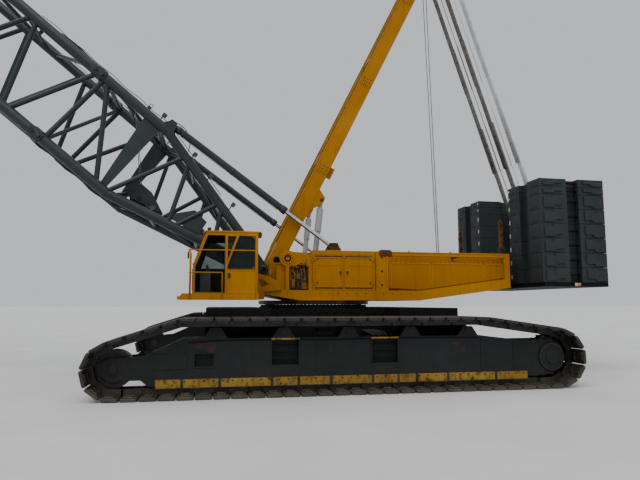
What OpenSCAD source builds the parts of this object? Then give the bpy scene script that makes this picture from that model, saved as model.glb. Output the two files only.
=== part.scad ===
// Lattice-boom crawler crane, millimetres.
// X forward, Y to the left, Z up; origin on the slewing axis at ground level.

/* [Tracks] */
// Distance between the centre lines of the two tracks
track_gauge = 8400; // [8200:100:8600]
// Width of a track shoe
shoe_w = 1500; // [1300:50:1500]
// Length of one shoe along the track
shoe_l = 345; // [320:5:350]
// Thickness of a shoe plate
shoe_t = 90; // [70:5:95]

/* [Slewing platform] */
// Half of the platform's width
plat_half_w = 1580; // [1560:5:1580]
// Height of the platform's underside
plat_z = 2100; // [2100:5:2120]
// Height of the roof and side rails
roof_z = 3530; // [3500:10:3560]

/* [Hoists] */
// Barrel radius of the rope drums
drum_r = 330; // [300:10:400]
// Flange radius of the rope drums
drum_flange_r = 535; // [500:5:540]

/* [Counterweights] */
// Height of one thick slab
slab_h = 430; // [400:10:440]
// Number of thick slabs in a stack
slab_count = 6; // [3:1:6]
// Height of one thin slab
thin_slab_h = 235; // [200:5:240]

/* [Boom] */
// Boom angle above the horizontal
boom_angle = 39.8; // [39.8:0.1:39.8]
// Radius of a boom chord tube
chord_r = 150; // [130:5:150]
// Radius of a boom brace tube
brace_r = 75; // [60:5:85]
// Half of the boom's height between chord centres
boom_half_h = 1205; // [1195:5:1215]
// Half of the boom's width between chord centres
boom_half_w = 1300; // [1300:10:1300]

/* [Mast] */
// Mast direction, measured from the forward horizontal
mast_angle = 116.3; // [116.3:0.1:116.3]
// Mast length from foot pin to head pin
mast_len = 12400; // [12400:10:12400]
// Half of the depth of a mast leg
mast_half_d = 215; // [200:5:240]

/* [Cab] */
// Inner side of the cab, measured from the centre line
cab_y0 = 1650; // [1640:5:1660]
// Outer side of the cab shell
cab_y1 = 2750; // [2700:10:2760]

/* [Output] */
// Node to draw

/* [Hidden] */
yellow = [0.93,0.66,0.05];
dark_green = [0.17,0.22,0.22];
dark_grey = [0.22,0.23,0.24];
rust = [0.30,0.22,0.17];
steel = [0.6,0.6,0.62];
silver = [0.7,0.71,0.72];
track_y = track_gauge/2;
boom_pin = [1680,0,2980];
mast_pin = [1300,0,3270];
idler_x = 5120; idler_r = 620;
sprocket_x = -5120; sprocket_r = 720;
run_z = 1700;
run_x0 = -3330; run_x1 = 3750;
cyl_base = [250,0,2300];
cyl_eye_u = 2230; cyl_eye_w = 400;
rear_sheave = [-7800,3450];
drum_z = 2990;
stack_x0 = -8300; stack_x1 = -6200;
stack_y0 = 1000; stack_y1 = 2740; stack_z = 2630;
// track path outline: arc and line joints of the outer loop
front_a = 72.6; rear_a = 98.8;

module plate(pts, y0, y1) { translate([0,y1,0]) rotate([90,0,0]) linear_extrude(y1-y0) polygon(pts); }
module ycyl(x, z, y0, y1, r) { translate([x,y1,z]) rotate([90,0,0]) cylinder(h=y1-y0, r=r, $fn=48); }
module bar(p, q, r) { d = q-p; L = norm(d); translate(p) rotate([0, acos(d[2]/L), atan2(d[1],d[0])]) cylinder(h=L, r=r, $fn=24); }
module box(x0,x1,y0,y1,z0,z1) { translate([x0,y0,z0]) cube([x1-x0,y1-y0,z1-z0]); }
module both() { children(); mirror([0,1,0]) children(); }
module on_boom() { translate(boom_pin) rotate([0,-boom_angle,0]) children(); }
module on_mast() { translate(mast_pin) rotate([0,-mast_angle,0]) children(); }

// ---------- undercarriage ----------
function arc_pts(cx,cz,r,a0,a1,n) = [for (i=[0:n]) let(a=a0+(a1-a0)*i/n) [cx+r*cos(a), cz+r*sin(a)]];
function loop_pts(d) = concat(
  arc_pts(idler_x, idler_r, idler_r-d, -90, front_a, 14),
  [[run_x1-d*0.16, run_z-d], [run_x0+d*0.08, run_z-d]],
  arc_pts(sprocket_x, sprocket_r, sprocket_r-d, rear_a, 270, 14));
function seg_len(p,i) = norm(p[(i+1)%len(p)]-p[i]);
function path_len(p) = let(n=len(p)) [for (i=0, s=0; i<=n; s=s+(i<n?seg_len(p,i):0), i=i+1) s];
function find_seg(c,s,i=0) = (i>=len(c)-2 || s<c[i+1]) ? i : find_seg(c,s,i+1);
function loop_at(p,c,s) = let(n=len(p), L=c[n], q=s<0?s+L:s>=L?s-L:s, i=find_seg(c,q)) p[i]+(p[(i+1)%n]-p[i])*(q-c[i])/seg_len(p,i);
module shoe_ring() {
  p = loop_pts(shoe_t/2); c = path_len(p); total = c[len(c)-1]; n = round(total/379);
  for (k=[0:n-1]) {
    a = loop_at(p,c,total*k/n-shoe_l/2); b = loop_at(p,c,total*k/n+shoe_l/2);
    translate((a+b)/2) rotate(atan2(b[1]-a[1], b[0]-a[0])) translate([-shoe_l/2,-shoe_t/2]) square([shoe_l,shoe_t]);
  }
}
module track(side) {
  color(rust) translate([0,side*track_y,0]) {
    translate([0,shoe_w/2,0]) rotate([90,0,0]) linear_extrude(shoe_w) shoe_ring();
    translate([0,270,0]) rotate([90,0,0]) linear_extrude(540) difference() { polygon(loop_pts(shoe_t-25)); polygon(loop_pts(205)); }
  }
}
module track_left() { track(1); }
module track_right() { track(-1); }
carrier_x = [-2950,-1500,0,1500,3000];
module frame_side() {
  polygon([[-4300,250],[4400,250],[4560,380],[5200,380],[5420,520],[5420,740],[5200,840],[4500,900],[3700,1250],[-3300,1250],[-4300,1130],[-5120,1130],[-5400,1000],[-5500,720],[-5400,450],[-5120,310]]);
}
step_x = [[1160,1760],[-1170,-560]];
module track_frame(side) {
  color(dark_grey) translate([0,side*track_y,0]) mirror([0,side<0?1:0,0]) difference() {
    union() {
      translate([0,350,0]) rotate([90,0,0]) linear_extrude(50) frame_side();
      translate([0,-300,0]) rotate([90,0,0]) linear_extrude(50) frame_side();
      plate([[-4250,500],[4380,500],[4380,940],[3700,1250],[-3300,1250],[-4250,1135]], -300, 300);
      for (x=carrier_x) for (y=[-350,250]) plate([[x-260,1240],[x+260,1240],[x+110,1470],[x-110,1470]], y, y+100);
    }
    for (s=step_x) box(s[0],s[1],230,360,650,1210);
    box(3030,3460,200,360,650,920);
    ycyl(sprocket_x, sprocket_r, 290, 360, 332);
    ycyl(sprocket_x, sprocket_r, -360, -290, 332);
    ycyl(idler_x, idler_r, -360, 360, 95.05);
    for (x=carrier_x) ycyl(x, 1390, -360, 360, 45.05);
    for (i=[0:13]) ycyl(-4100+i*630, 350, -360, 360, 50.05);
  }
}
module track_frame_left() { track_frame(1); }
module track_frame_right() { track_frame(-1); }
module track_wheels() color(dark_grey) both() translate([0,track_y,0]) {
  difference() { ycyl(idler_x, idler_r, -150, 150, 405); for (s=[-1,1]) translate([idler_x,s*150,idler_r]) rotate([90,0,0]) translate([0,0,-50]) difference() { cylinder(h=100,r=320,$fn=48); cylinder(h=100,r=170,$fn=48); } }
  ycyl(idler_x, idler_r, -350, 350, 95);
  difference() { translate([sprocket_x,0,sprocket_r]) rotate([90,0,0]) linear_extrude(240, center=true) { circle(r=455,$fn=60); for (i=[0:12]) rotate(i*360/13) translate([440,-45]) square([62,90]); } }
  ycyl(sprocket_x, sprocket_r, -400, 400, 330);
}
module track_rollers() color(dark_grey) both() translate([0,track_y,0]) {
  for (i=[0:13]) { ycyl(-4100+i*630, 350, -190, 190, 140); ycyl(-4100+i*630, 350, -350, 350, 50); }
  for (x=carrier_x) { ycyl(x, 1390, -200, 200, 98); ycyl(x, 1390, -350, 350, 45); }
}
module chain_guards() color(yellow) both() box(-4450,4250,track_y+350,track_y+392,190,390);
module carbody() color(dark_grey) {
  cylinder(h=1780, r=1750, $fn=96);
  difference() {
    union() {
      box(-1850,1850,-1700,1700,720,1800);
      for (s=[-1,1]) both() difference() {
        translate([s*2450,0,0]) plate([[-790,650],[790,650],[790,1900],[-790,1900]], 0, track_y-350);
        translate([s*2450,0,0]) box(-440,440,2300,3000,500,1700);
        translate([s*2450,0,0]) box(-850,850,3390,track_y,1570,2000);
      }
      both() box(-1700,1700,1690,2100,720,1880);
    }
    translate([0,0,1760]) cylinder(h=200, r=1770, $fn=96);
  }
}
module slew_ring() color(steel) translate([0,0,1780]) difference() {
  union() { cylinder(h=200, r=1640, $fn=96); translate([0,0,20]) linear_extrude(120) for (i=[0:89]) rotate(i*4) translate([1630,-32]) square([60,64]); }
  translate([0,0,-1]) cylinder(h=202, r=1380, $fn=96);
}

// ---------- slewing platform ----------
module upper_frame() color(yellow) {
  translate([0,0,1990]) difference() { cylinder(h=115, r=1700, $fn=96); translate([0,0,-1]) cylinder(h=117, r=1300, $fn=96); }
  // deck slab
  difference() {
    plate([[1670,2270],[660,plat_z],[-2900,plat_z],[-5830,2490],[-5830,2780],[-2900,2390],[1670,2390]], -plat_half_w, plat_half_w);
    plate([[-1700,2160],[-2900,2160],[-5640,2525],[-5640,3000],[-1700,3000]], -860, 860);
    both() box(-140,580,870,1130,2080,2500);
  }
  // girders beside the drums
  both() difference() {
    plate([[-1640,2300],[-5640,2500],[-5640,3400],[-5200,3480],[-1640,3480]], 860, 1000);
    for (x=[-2350,-3650,-4950]) ycyl(x, drum_z, 850, 1010, 90.05);
  }
  // rear end beam and side rails with posts
  box(-5830,-5640,-plat_half_w,plat_half_w,2600,roof_z);
  both() { box(-5700,-1950,1500,plat_half_w,3400,roof_z); box(-1950,-1560,1500,plat_half_w,2380,roof_z); box(-1950,-1560,990,1510,2380,2480); }
  // rear posts
  both() { box(-5700,-5600,1380,1480,roof_z-10,4550); box(-5730,-5570,1350,1510,3520,3720); }
  // mast foot brackets with pins
  both() {
    for (y=[[700,765],[1125,1180]]) difference() { union() { plate([[700,2380],[1500,2380],[1500,3270],[1100,3270],[700,2900]], y[0], y[1]); ycyl(mast_pin[0],mast_pin[2],y[0],y[1],215); } }
    ycyl(mast_pin[0],mast_pin[2],690,1190,95);
  }
  // boom foot brackets with pins
  both() {
    plate([[1150,2380],[1670,2300],[1900,2860],[1690,3110],[1150,2760]], 1170, 1230); ycyl(boom_pin[0],boom_pin[2],1170,1230,180);
    ycyl(boom_pin[0],boom_pin[2],1175,1375,80);
    box(1090,1330,1440,1470,2380,3150); box(1080,1450,1400,1500,3130,3160);
  }
  // post of the front bay
  both() box(975,1080,1470,1560,2380,3120);
  both() box(320,420,1180,1570,2380,3160);
  // bearing arm above the post
  both() { ycyl(1020,3285,1456,1566,228); plate([[1020,3075],[800,3075],[560,3190],[440,3330],[440,3445],[1020,3490]], 1464, 1558); }
  both() box(330,470,1464,1558,3080,3400);
}
module side_panels() color(yellow) both() plate([[-1960,2470],[-2900,2420],[-5620,2790],[-5620,3240],[-1960,3240]], 1530, 1580);
module machinery_house() color(yellow) { both() for (y=[1160,1408]) plate([[-580,roof_z-30],[-100,roof_z-30],[-240,3770],[-460,3770]], y, y+32); house_shell(); }
module house_shell() difference() {
  box(-1540,310,-plat_half_w,plat_half_w,2395,roof_z);
  box(-1490,260,-plat_half_w+50,plat_half_w-50,2385,roof_z-60);
  // door openings on the left
  box(-1500,270,plat_half_w-60,plat_half_w+10,2425,3405);
  // slots for the mast cylinders
  both() box(-860,320,770,1150,2385,roof_z+10);
  // intake on the right
  box(-1300,100,-plat_half_w-10,-plat_half_w+60,2600,3300);
}
module engine() color(dark_grey) box(-1400,-200,-780,780,2395,3300);
module valve_bank() color(dark_grey) both() {
  box(440,760,1210,1470,2395,2900);
  for (i=[0:2]) translate([500+i*100,1340,2890]) cylinder(h=220,r=42,$fn=24);
  box(930,1080,1400,1462,2395,2800);
}
module house_door_front() color(yellow) { box(-605,265,1532,1580,2430,3400); knuckles(265,1); }
module house_door_rear() color(yellow) { box(-1495,-615,1532,1580,2430,3400); knuckles(-1495,-1); }
module knuckles(x,s) for (z=[2560,3240]) { translate([x,1598,z]) cylinder(h=90,r=14,$fn=24); box(min(x,x-s*70),max(x,x-s*70),1575,1598,z+5,z+85); }
module drum(x) color(dark_grey) {
  ycyl(x,drum_z,-720,720,drum_r);
  for (y=[-760,720]) ycyl(x,drum_z,y,y+40,drum_flange_r);
  ycyl(x,drum_z,-1000,1000,90);
  ycyl(x,drum_z,-850,-750,260);
}
module hoist_drum_front() { drum(-2350); }
module hoist_drum_rear() { drum(-3650); }
module luffing_drum() { drum(-4950); }

// ---------- counterweight ----------
module counterweight_tray() color(yellow) {
  both() { box(-8300,-6250,950,2740,2500,2628); box(-7000,-5830,620,900,2500,2800); }
  box(-8250,-6650,-960,960,2500,2620);
  // brackets of the rear sheaves
  both() for (y=[485,600,936]) difference() {
    union() { plate([[-8120,2610],[-7480,2610],[-7690,3450],[-7910,3450]], y, y+46); ycyl(rear_sheave[0],rear_sheave[1],y,y+46,120); }
    ycyl(rear_sheave[0],rear_sheave[1],y-5,y+60,60.05);
  }
}
module slab(h) {
  linear_extrude(h-12) difference() {
    translate([stack_x0,stack_y0]) square([stack_x1-stack_x0, stack_y1-stack_y0]);
    translate([-7460,2500]) square([390,300]);
    translate([-7460,stack_y0-10]) square([390,150]);
    translate([stack_x1-130,1640]) square([200,460]);
  }
}
module stack() {
  for (i=[0:slab_count-1]) translate([0,0,stack_z+i*slab_h]) { slab(slab_h); translate([0,0,slab_h-20]) for (x=[-8000,-6500]) for (y=[1250,2490]) translate([x,y,0]) cylinder(h=30,r=120,$fn=24); }
  for (i=[0:1]) translate([0,0,stack_z+slab_count*slab_h+i*thin_slab_h]) { slab(thin_slab_h); if (i==0) translate([0,0,thin_slab_h-20]) for (x=[-8000,-6500]) for (y=[1250,2490]) translate([x,y,0]) cylinder(h=30,r=120,$fn=24); }
}
module counterweights_left() color(dark_grey) stack();
module counterweights_right() color(dark_grey) mirror([0,1,0]) stack();
module rear_sheaves() color(dark_grey) {
  for (g=[[-440,440],[670,920],[-920,-670]]) for (y=[g[0]:110:g[1]-60]) sheave(rear_sheave[0],rear_sheave[1],y,240,70);
  ycyl(rear_sheave[0],rear_sheave[1],-992,992,60);
}
module loose_sheave(x,z,y,r,w) difference() { sheave(x,z,y,r,w); ycyl(x,z,y-10,y+w+10,70.05); }
module sheave(x,z,y,r,w) difference() { ycyl(x,z,y,y+w,r); translate([x,y+w/2,z]) rotate([90,0,0]) rotate_extrude($fn=48) translate([r,0]) circle(r=22,$fn=16); }

// ---------- cab ----------
cab_profile = [[1950,2205],[3600,2205],[3600,2950],[3280,3850],[1950,3850]];
module cab_platform() color(yellow) {
  box(1940,3960,1620,2860,2110,2195);
  plate([[1940,2110],[3960,2110],[3840,2265],[1940,2265]], 2815, 2860);
  plate([[1680,2130],[1950,2110],[1950,2195],[1680,2380]], 1450, 1640);
  difference() {
    plate([[1215,2380],[1215,2430],[1329,2645],[1499,2755],[1834,2840],[2060,2840],[2060,2120],[1945,2120],[1700,2330],[1330,2380]], 1590, 1644);
    plate([[1900,2690],[1749,2691],[1560,2560],[1700,2480],[1900,2440]], 1580, 1650);
  }
  box(1690,1930,1440,1580,2300,2420);
}
module cab_void() plate([[2000,2255],[3550,2255],[3550,2942],[3245,3800],[2000,3800]], cab_y0+50, cab_y1-50);
module cab() color(yellow) difference() {
  plate(cab_profile, cab_y0, cab_y1);
  cab_void();
  // door opening
  plate([[2790,2290],[3540,2290],[3540,2940],[3240,3760],[2790,3760]], cab_y1-60, cab_y1+10);
  // side window behind the door
  plate([[2060,2900],[2730,2900],[2730,3740],[2060,3740]], cab_y1-60, cab_y1+10);
  // front windows
  box(3540,3610,cab_y0+110,cab_y1-110,2330,2880);
  translate([3600,0,2950]) rotate([0,-19.6,0]) box(-80,60,cab_y0+110,cab_y1-110,60,880);
  // right window, rear window
  plate([[2150,2950],[3420,2950],[3180,3680],[2150,3680]], cab_y0-10, cab_y0+60);
  box(1940,2010,cab_y0+160,cab_y1-160,3000,3650);
}
module cab_glass() color([0.5,0.6,0.65]) {
  box(3560,3570,cab_y0+110,cab_y1-110,2330,2880);
  translate([3600,0,2950]) rotate([0,-19.6,0]) box(-38,-28,cab_y0+110,cab_y1-110,60,880);
  plate([[2150,2950],[3420,2950],[3180,3680],[2150,3680]], cab_y0+20, cab_y0+30);
  box(1970,1980,cab_y0+160,cab_y1-160,3000,3650);
  plate([[2060,2900],[2730,2900],[2730,3740],[2060,3740]], cab_y1-40, cab_y1-30);
}
module cab_seat() color(dark_grey) { box(2300,2800,1950,2450,2550,2700); box(2150,2290,1960,2440,2560,3250); box(2350,2750,2050,2350,2258,2550); }
module cab_console() color(dark_grey) { box(3150,3420,1900,2500,2258,2800); box(2350,2900,1720,1880,2258,2780); }
door_profile = [[1965,2225],[2790,2225],[2790,2950],[2480,3815],[1965,3815]];
door_window = [[2040,2900],[2730,2900],[2720,2960],[2440,3740],[2040,3740]];
module cab_door() color(yellow) difference() { plate(door_profile, cab_y1+8, cab_y1+58); plate(door_window, cab_y1, cab_y1+70); }
module cab_door_glass() color([0.5,0.6,0.65]) plate(door_window, cab_y1+28, cab_y1+38);

// ---------- mast ----------
module mast() color(yellow) on_mast() {
  both() difference() {
    union() {
      plate([[-60,-200],[350,-mast_half_d],[mast_len-600,-mast_half_d],[mast_len-600,mast_half_d],[350,mast_half_d],[-60,200]], 800, 1110);
      ycyl(0,0,800,1110,210);
      for (y=[[885,930],[1070,1110]]) plate([[1800,200],[2500,200],[2330,cyl_eye_w+80],[2130,cyl_eye_w+80]], y[0], y[1]);
      ycyl(cyl_eye_u,cyl_eye_w,890,1100,40);
    }
    ycyl(0,0,790,1120,95.05);
  }
  for (u=[3600,7600]) box(u,u+300,-820,820,-180,180);
  box(mast_len-1100,mast_len-500,-1110,1110,-230,230);
  // head plates with the sheave pin
  both() for (y=[[520,550],[650,680],[1060,1100]]) plate([[mast_len-620,-220],[mast_len+60,-150],[mast_len+60,150],[mast_len-620,220]], y[0], y[1]);
  ycyl(mast_len,0,-1100,1100,70);
}
module mast_sheaves() color(dark_grey) on_mast() for (g=[-430,700]) { for (i=[0:(g<0?7:2)]) loose_sheave(mast_len,0,g+i*110,330,70); if (g>0) for (i=[0:2]) loose_sheave(mast_len,0,-g-70-i*110,330,70); }
cyl_len = norm([mast_pin[0]+cyl_eye_u*cos(mast_angle)-cyl_eye_w*sin(mast_angle)-cyl_base[0], mast_pin[2]+cyl_eye_u*sin(mast_angle)+cyl_eye_w*cos(mast_angle)-cyl_base[2]]);
cyl_angle = atan2(mast_pin[2]+cyl_eye_u*sin(mast_angle)+cyl_eye_w*cos(mast_angle)-cyl_base[2], mast_pin[0]+cyl_eye_u*cos(mast_angle)-cyl_eye_w*sin(mast_angle)-cyl_base[0]);
module on_cyl() { translate(cyl_base) rotate([0,-cyl_angle,0]) children(); }
// barrels hang from the mast, rods stand in the deck
module mast_cylinders() color(silver) on_cyl() both() difference() {
  union() { ycyl(cyl_len,0,940,1060,90); translate([cyl_len-270,1000,0]) rotate([0,90,0]) cylinder(h=240,r=62,$fn=48); translate([cyl_len-950,1000,0]) rotate([0,90,0]) cylinder(h=690,r=98,$fn=48); translate([cyl_len-1750,1000,0]) rotate([0,90,0]) cylinder(h=900,r=82,$fn=48); }
  ycyl(cyl_len,0,930,1070,40.05);
  translate([cyl_len-1800,1000,0]) rotate([0,90,0]) cylinder(h=1520,r=60.05,$fn=48);
}
module mast_cylinder_rods() color(steel) on_cyl() both() {
  difference() { union() { ycyl(0,0,945,1055,78); translate([60,1000,0]) rotate([0,90,0]) cylinder(h=1590,r=60,$fn=48); } ycyl(0,0,940,1060,40); }
}
// reeving between the mast head and the rear sheaves, in three sliding stages
mast_top = [mast_pin[0]+mast_len*cos(mast_angle), mast_pin[2]+mast_len*sin(mast_angle)];
reeve_angle = atan2(rear_sheave[1]-mast_top[1], rear_sheave[0]-mast_top[0]);
reeve_len = norm([rear_sheave[1]-mast_top[1], rear_sheave[0]-mast_top[0]]);
module on_reeve() { translate([mast_top[0],0,mast_top[1]]) rotate([0,-reeve_angle,0]) children(); }
module ropes(s0,s1,w) on_reeve() {
  for (g=[[-880,3,90],[-385,8,110],[700,3,90]]) {
    for (i=[0:g[1]-1]) translate([s0,g[0]+i*g[2],w]) rotate([0,90,0]) cylinder(h=s1-s0,r=15,$fn=16);
    for (s=[s0+60,s1-130]) translate([s,g[0]-15,w-9]) cube([70,(g[1]-1)*g[2]+30,18]);
  }
}
module reeving_upper() color(steel) ropes(360,5090,0);
module reeving_middle() color(steel) ropes(3430,8150,45);
module reeving_lower() color(steel) ropes(6490,reeve_len-300,-45);

// ---------- boom ----------
foot_u = 4900; taper_u = 4620; foot_end = 7050; mid_end = 17050; head_u = 22300; boom_len = 27000;
zig_p = 1165;
boom_drum = [4050,-690];
bs_u = 4620; bs_w = 1440; tip_u = 26950; tip_w = -800;
hw = boom_half_w; hh = boom_half_h;
// a brace between two chord centres: its ends stop inside the chords
module brace(p, q, r) { d = (q-p)/norm(q-p); bar(p+d*88, q-d*88, r); }
module chords(u0,u1) for (v=[-hw,hw]) for (w=[-hh,hh]) bar([u0,v,w],[u1,v,w],chord_r);
module collars(u) for (v=[-hw,hw]) for (w=[-hh,hh]) translate([u,v,w]) rotate([0,90,0]) cylinder(h=135,r=chord_r+30,$fn=32);
module frame_at(u) { for (w=[-hh,hh]) brace([u,-hw,w],[u,hw,w],brace_r-8); for (v=[-hw,hw]) brace([u,v,-hh],[u,v,hh],brace_r); }
// side zigzag with panels of equal length; the two sides run in opposite phase
module side_zig(u0, n, p, shift) {
  g = 75;
  for (i=[0:n-1]) for (v=[-1,1]) { s = ((i%2==0)?1:-1)*v; k = u0+i*p+(v<0?shift:0); brace([k+g,v*hw,s*hh],[k+p-g,v*hw,-s*hh],brace_r-2); }
}
module flat_zig(u0, n, p) {
  g = 110;
  for (i=[0:n-1]) for (w=[-hh,hh]) { s = (i%2==0)?1:-1; brace([u0+i*p+g,s*hw,w],[u0+(i+1)*p-g,-s*hw,w],brace_r*0.8); }
}
function taper_w(u) = min(hh, 280+(u-850)*(hh-280)/(taper_u-850));
module boom_foot() color(dark_green) on_boom() {
  both() difference() {
    union() { ycyl(0,0,1240,1360,142); plate([[0,-142],[1100,-440],[1100,440],[0,142]], 1240, 1360); for (s=[-1,1]) bar([850,hw,s*280],[taper_u+50,hw,s*(hh+12)],chord_r-16); }
    ycyl(0,0,1230,1370,80.05);
  }
  chords(taper_u,foot_end-80);
  collars(foot_end-140);
  // side bracing: nodes along the boom, upper and lower chord in turn, in opposite phase on the two sides
  for (q=[[1500,2040,-1],[2180,2700,1],[2850,3570,-1],[3760,4690,1]]) brace([q[0],hw,q[2]*taper_w(q[0])],[q[1],hw,-q[2]*taper_w(q[1])],brace_r-8);
  for (q=[[1560,2100,1],[2240,2860,-1],[3000,3640,1],[3780,4700,-1]]) brace([q[0],-hw,q[2]*taper_w(q[0])],[q[1],-hw,-q[2]*taper_w(q[1])],brace_r-8);
  brace([5010,hw,-hh],[6760,hw,hh],brace_r-2);
  brace([5570,-hw,hh],[6740,-hw,-hh],brace_r-2);
  for (s=[-1,1]) {
    brace([2050,-hw,s*taper_w(2050)],[2050,hw,s*taper_w(2050)],brace_r-10);
    brace([2170,-hw,s*taper_w(2170)],[3340,hw,s*taper_w(3340)],brace_r-18);
    brace([3480,-hw,s*taper_w(3480)],[3480,hw,s*taper_w(3480)],brace_r-14);
    brace([3620,hw,s*taper_w(3620)],[foot_u-160,-hw,s*taper_w(foot_u-160)],brace_r-18);
    brace([foot_u+230,-hw,s*hh],[foot_end-330,hw,s*hh],brace_r-18);
  }
  frame_at(foot_end-200);
  // diagonal of the end frame
  brace([foot_end-200,hw-40,-hh],[foot_end-200,-hw+40,hh],brace_r-16);
  // tapered plate struts and the cross tube of the main frame
  both() plate([[4760,-hh],[4930,-hh],[5265,650],[5330,hh-160],[5470,hh],[4790,hh]], 1262, 1338);
  for (s=[-1,1]) brace([foot_u+60,-hw,s*(hh-10)],[foot_u+60,hw,s*(hh-10)],brace_r+10);
  // lugs of the backstops
  both() for (y=[1158,1408]) plate([[bs_u-240,hh-40],[bs_u+240,hh-40],[bs_u+90,bs_w+110],[bs_u-90,bs_w+110]], y, y+32);
  both() ycyl(bs_u,bs_w,1150,1450,45);
  // winch side plates
  both() difference() { plate([[3450,-640],[4480,-900],[4480,-780],[4300,-330],[3900,-330],[3450,-520]], 560, 620); ycyl(boom_drum[0],boom_drum[1],550,630,60.05); }
  both() bar([3540,600,-580],[3540,hw-60,-800],60);
  both() bar([4400,600,-840],[4400,hw-60,-1030],58);
}
module boom_middle() color(dark_green) on_boom() {
  collars(foot_end+5); collars(mid_end-140); chords(foot_end+80,mid_end-80);
  frame_at(mid_end-200);
  side_zig(foot_end-40, 8, zig_p, 200);
  brace([foot_end-40+8*zig_p+75,hw,hh],[mid_end-200-75,hw,-hh],brace_r-4);
  for (w=[-hh,hh]) brace([foot_end+200,-hw,w],[foot_end+200,hw,w],brace_r-12);
  flat_zig(foot_end+200, 4, 2400);
}
module boom_head() color(dark_green) on_boom() {
  collars(mid_end+5); chords(mid_end+80,head_u+60);
  for (v=[-hw,hw]) for (w=[-hh,hh]) bar([head_u-40,v,w],[26120,sign(v)*560,w>0?540:-380],chord_r-16);
  frame_at(head_u-160); side_zig(mid_end+200, 4, 1210, 0); flat_zig(mid_end+200, 2, 2420);
  for (w=[-hh,hh]) brace([mid_end+200,-hw,w],[mid_end+200,hw,w],brace_r-12);
  for (v=[-1,1]) brace([head_u+120,v*1276,hh-30],[24400,v*910,-770],brace_r-6);
  for (s=[-1,1]) brace([head_u+120,-1276,s*(hh-30)],[24400,910,s>0?840:-745],brace_r-10);
  both() plate([[25900,-480],[26600,-950],[26800,-1040],[27050,-1040],[27200,-900],[27200,-300],[27000,300],[26700,700],[26700,1000],[26500,1000],[26300,660],[25900,640]], 500, 620);
  box(25950,26110,-510,510,-430,590);
  ycyl(26600,900,-700,700,60);
  ycyl(tip_u,tip_w,-630,630,70);
}
module jib_lugs() color(dark_green) on_boom() both() difference() { plate([[26880,-60],[27200,-10],[27340,80],[27340,230],[27200,310],[26880,330]], 620, 690); ycyl(27200,150,610,700,60); }
module boom_winch_drum() color(dark_grey) on_boom() { ycyl(boom_drum[0],boom_drum[1],-500,500,190); for (y=[-540,500]) ycyl(boom_drum[0],boom_drum[1],y,y+40,280); ycyl(boom_drum[0],boom_drum[1],-640,640,60); }
module boom_head_sheaves() color(dark_grey) on_boom() for (i=[0:5]) loose_sheave(tip_u,tip_w,-365+i*130,380,80);
// backstops
bs_foot = [-350,3650];
bs_top = [boom_pin[0]+bs_u*cos(boom_angle)-bs_w*sin(boom_angle), boom_pin[2]+bs_u*sin(boom_angle)+bs_w*cos(boom_angle)];
bs_angle = atan2(bs_foot[1]-bs_top[1], bs_foot[0]-bs_top[0]);
bs_len = norm([bs_foot[1]-bs_top[1], bs_foot[0]-bs_top[0]]);
module on_bs() { translate([bs_top[0],0,bs_top[1]]) rotate([0,-bs_angle,0]) children(); }
module backstop_tubes() color(dark_green) on_bs() both() difference() {
  union() { ycyl(0,0,1215,1385,72); translate([30,1300,0]) rotate([0,90,0]) cylinder(h=140,r=62,$fn=48); translate([150,1300,0]) rotate([0,90,0]) cylinder(h=3890,r=100,$fn=48); }
  ycyl(0,0,1200,1400,45.05);
  translate([200,1300,0]) rotate([0,90,0]) cylinder(h=4000,r=62.05,$fn=48);
}
module backstop_rods() color(steel) on_bs() both() {
  translate([bs_len-2900,1300,0]) rotate([0,90,0]) cylinder(h=2800,r=62,$fn=48);
  difference() { ycyl(bs_len,0,1240,1360,86); ycyl(bs_len,0,1230,1370,42); }
}
// pendants from the mast head to the boom head
pend_end = [boom_pin[0]+26600*cos(boom_angle)-900*sin(boom_angle), boom_pin[2]+26600*sin(boom_angle)+900*cos(boom_angle)];
pend_angle = atan2(pend_end[1]-mast_top[1], pend_end[0]-mast_top[0]);
pend_len = norm([pend_end[1]-mast_top[1], pend_end[0]-mast_top[0]]);
module on_pend() { translate([mast_top[0],0,mast_top[1]]) rotate([0,-pend_angle,0]) children(); }
module pendants() color(dark_grey) on_pend() both() {
  difference() { union() { ycyl(0,0,570,630,130); plate([[0,-60],[pend_len-500,-60],[pend_len-500,60],[0,60]], 585, 615); } ycyl(0,0,560,640,70.05); }
}
// hoist falls and hook block hanging from the boom head
hb = [boom_pin[0]+tip_u*cos(boom_angle)-tip_w*sin(boom_angle), boom_pin[2]+tip_u*sin(boom_angle)+tip_w*cos(boom_angle)];
module hoist_falls() color(steel) translate([hb[0],0,hb[1]]) for (i=[0:5]) for (s=[-1,1]) translate([s*381,-325+i*130,-3200]) cylinder(h=3180,r=14,$fn=16);
module hook_block() color(yellow) translate([hb[0],0,hb[1]-3300]) {
  both() plate([[-420,200],[420,200],[300,-500],[-300,-500]], 430, 470);
  box(-300,300,-470,470,-620,-480);
  ycyl(0,0,-470,470,70);
  for (i=[0:5]) ycyl(0,0,-365+i*130,-285+i*130,360);
}
module hook() color(dark_grey) translate([hb[0],0,hb[1]-3300-640]) {
  translate([0,0,-260]) cylinder(h=255,r=80,$fn=32);
  translate([0,0,-480]) rotate([90,0,0]) rotate_extrude(angle=300,$fn=48) translate([230,0]) circle(r=85,$fn=24);
}

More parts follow.
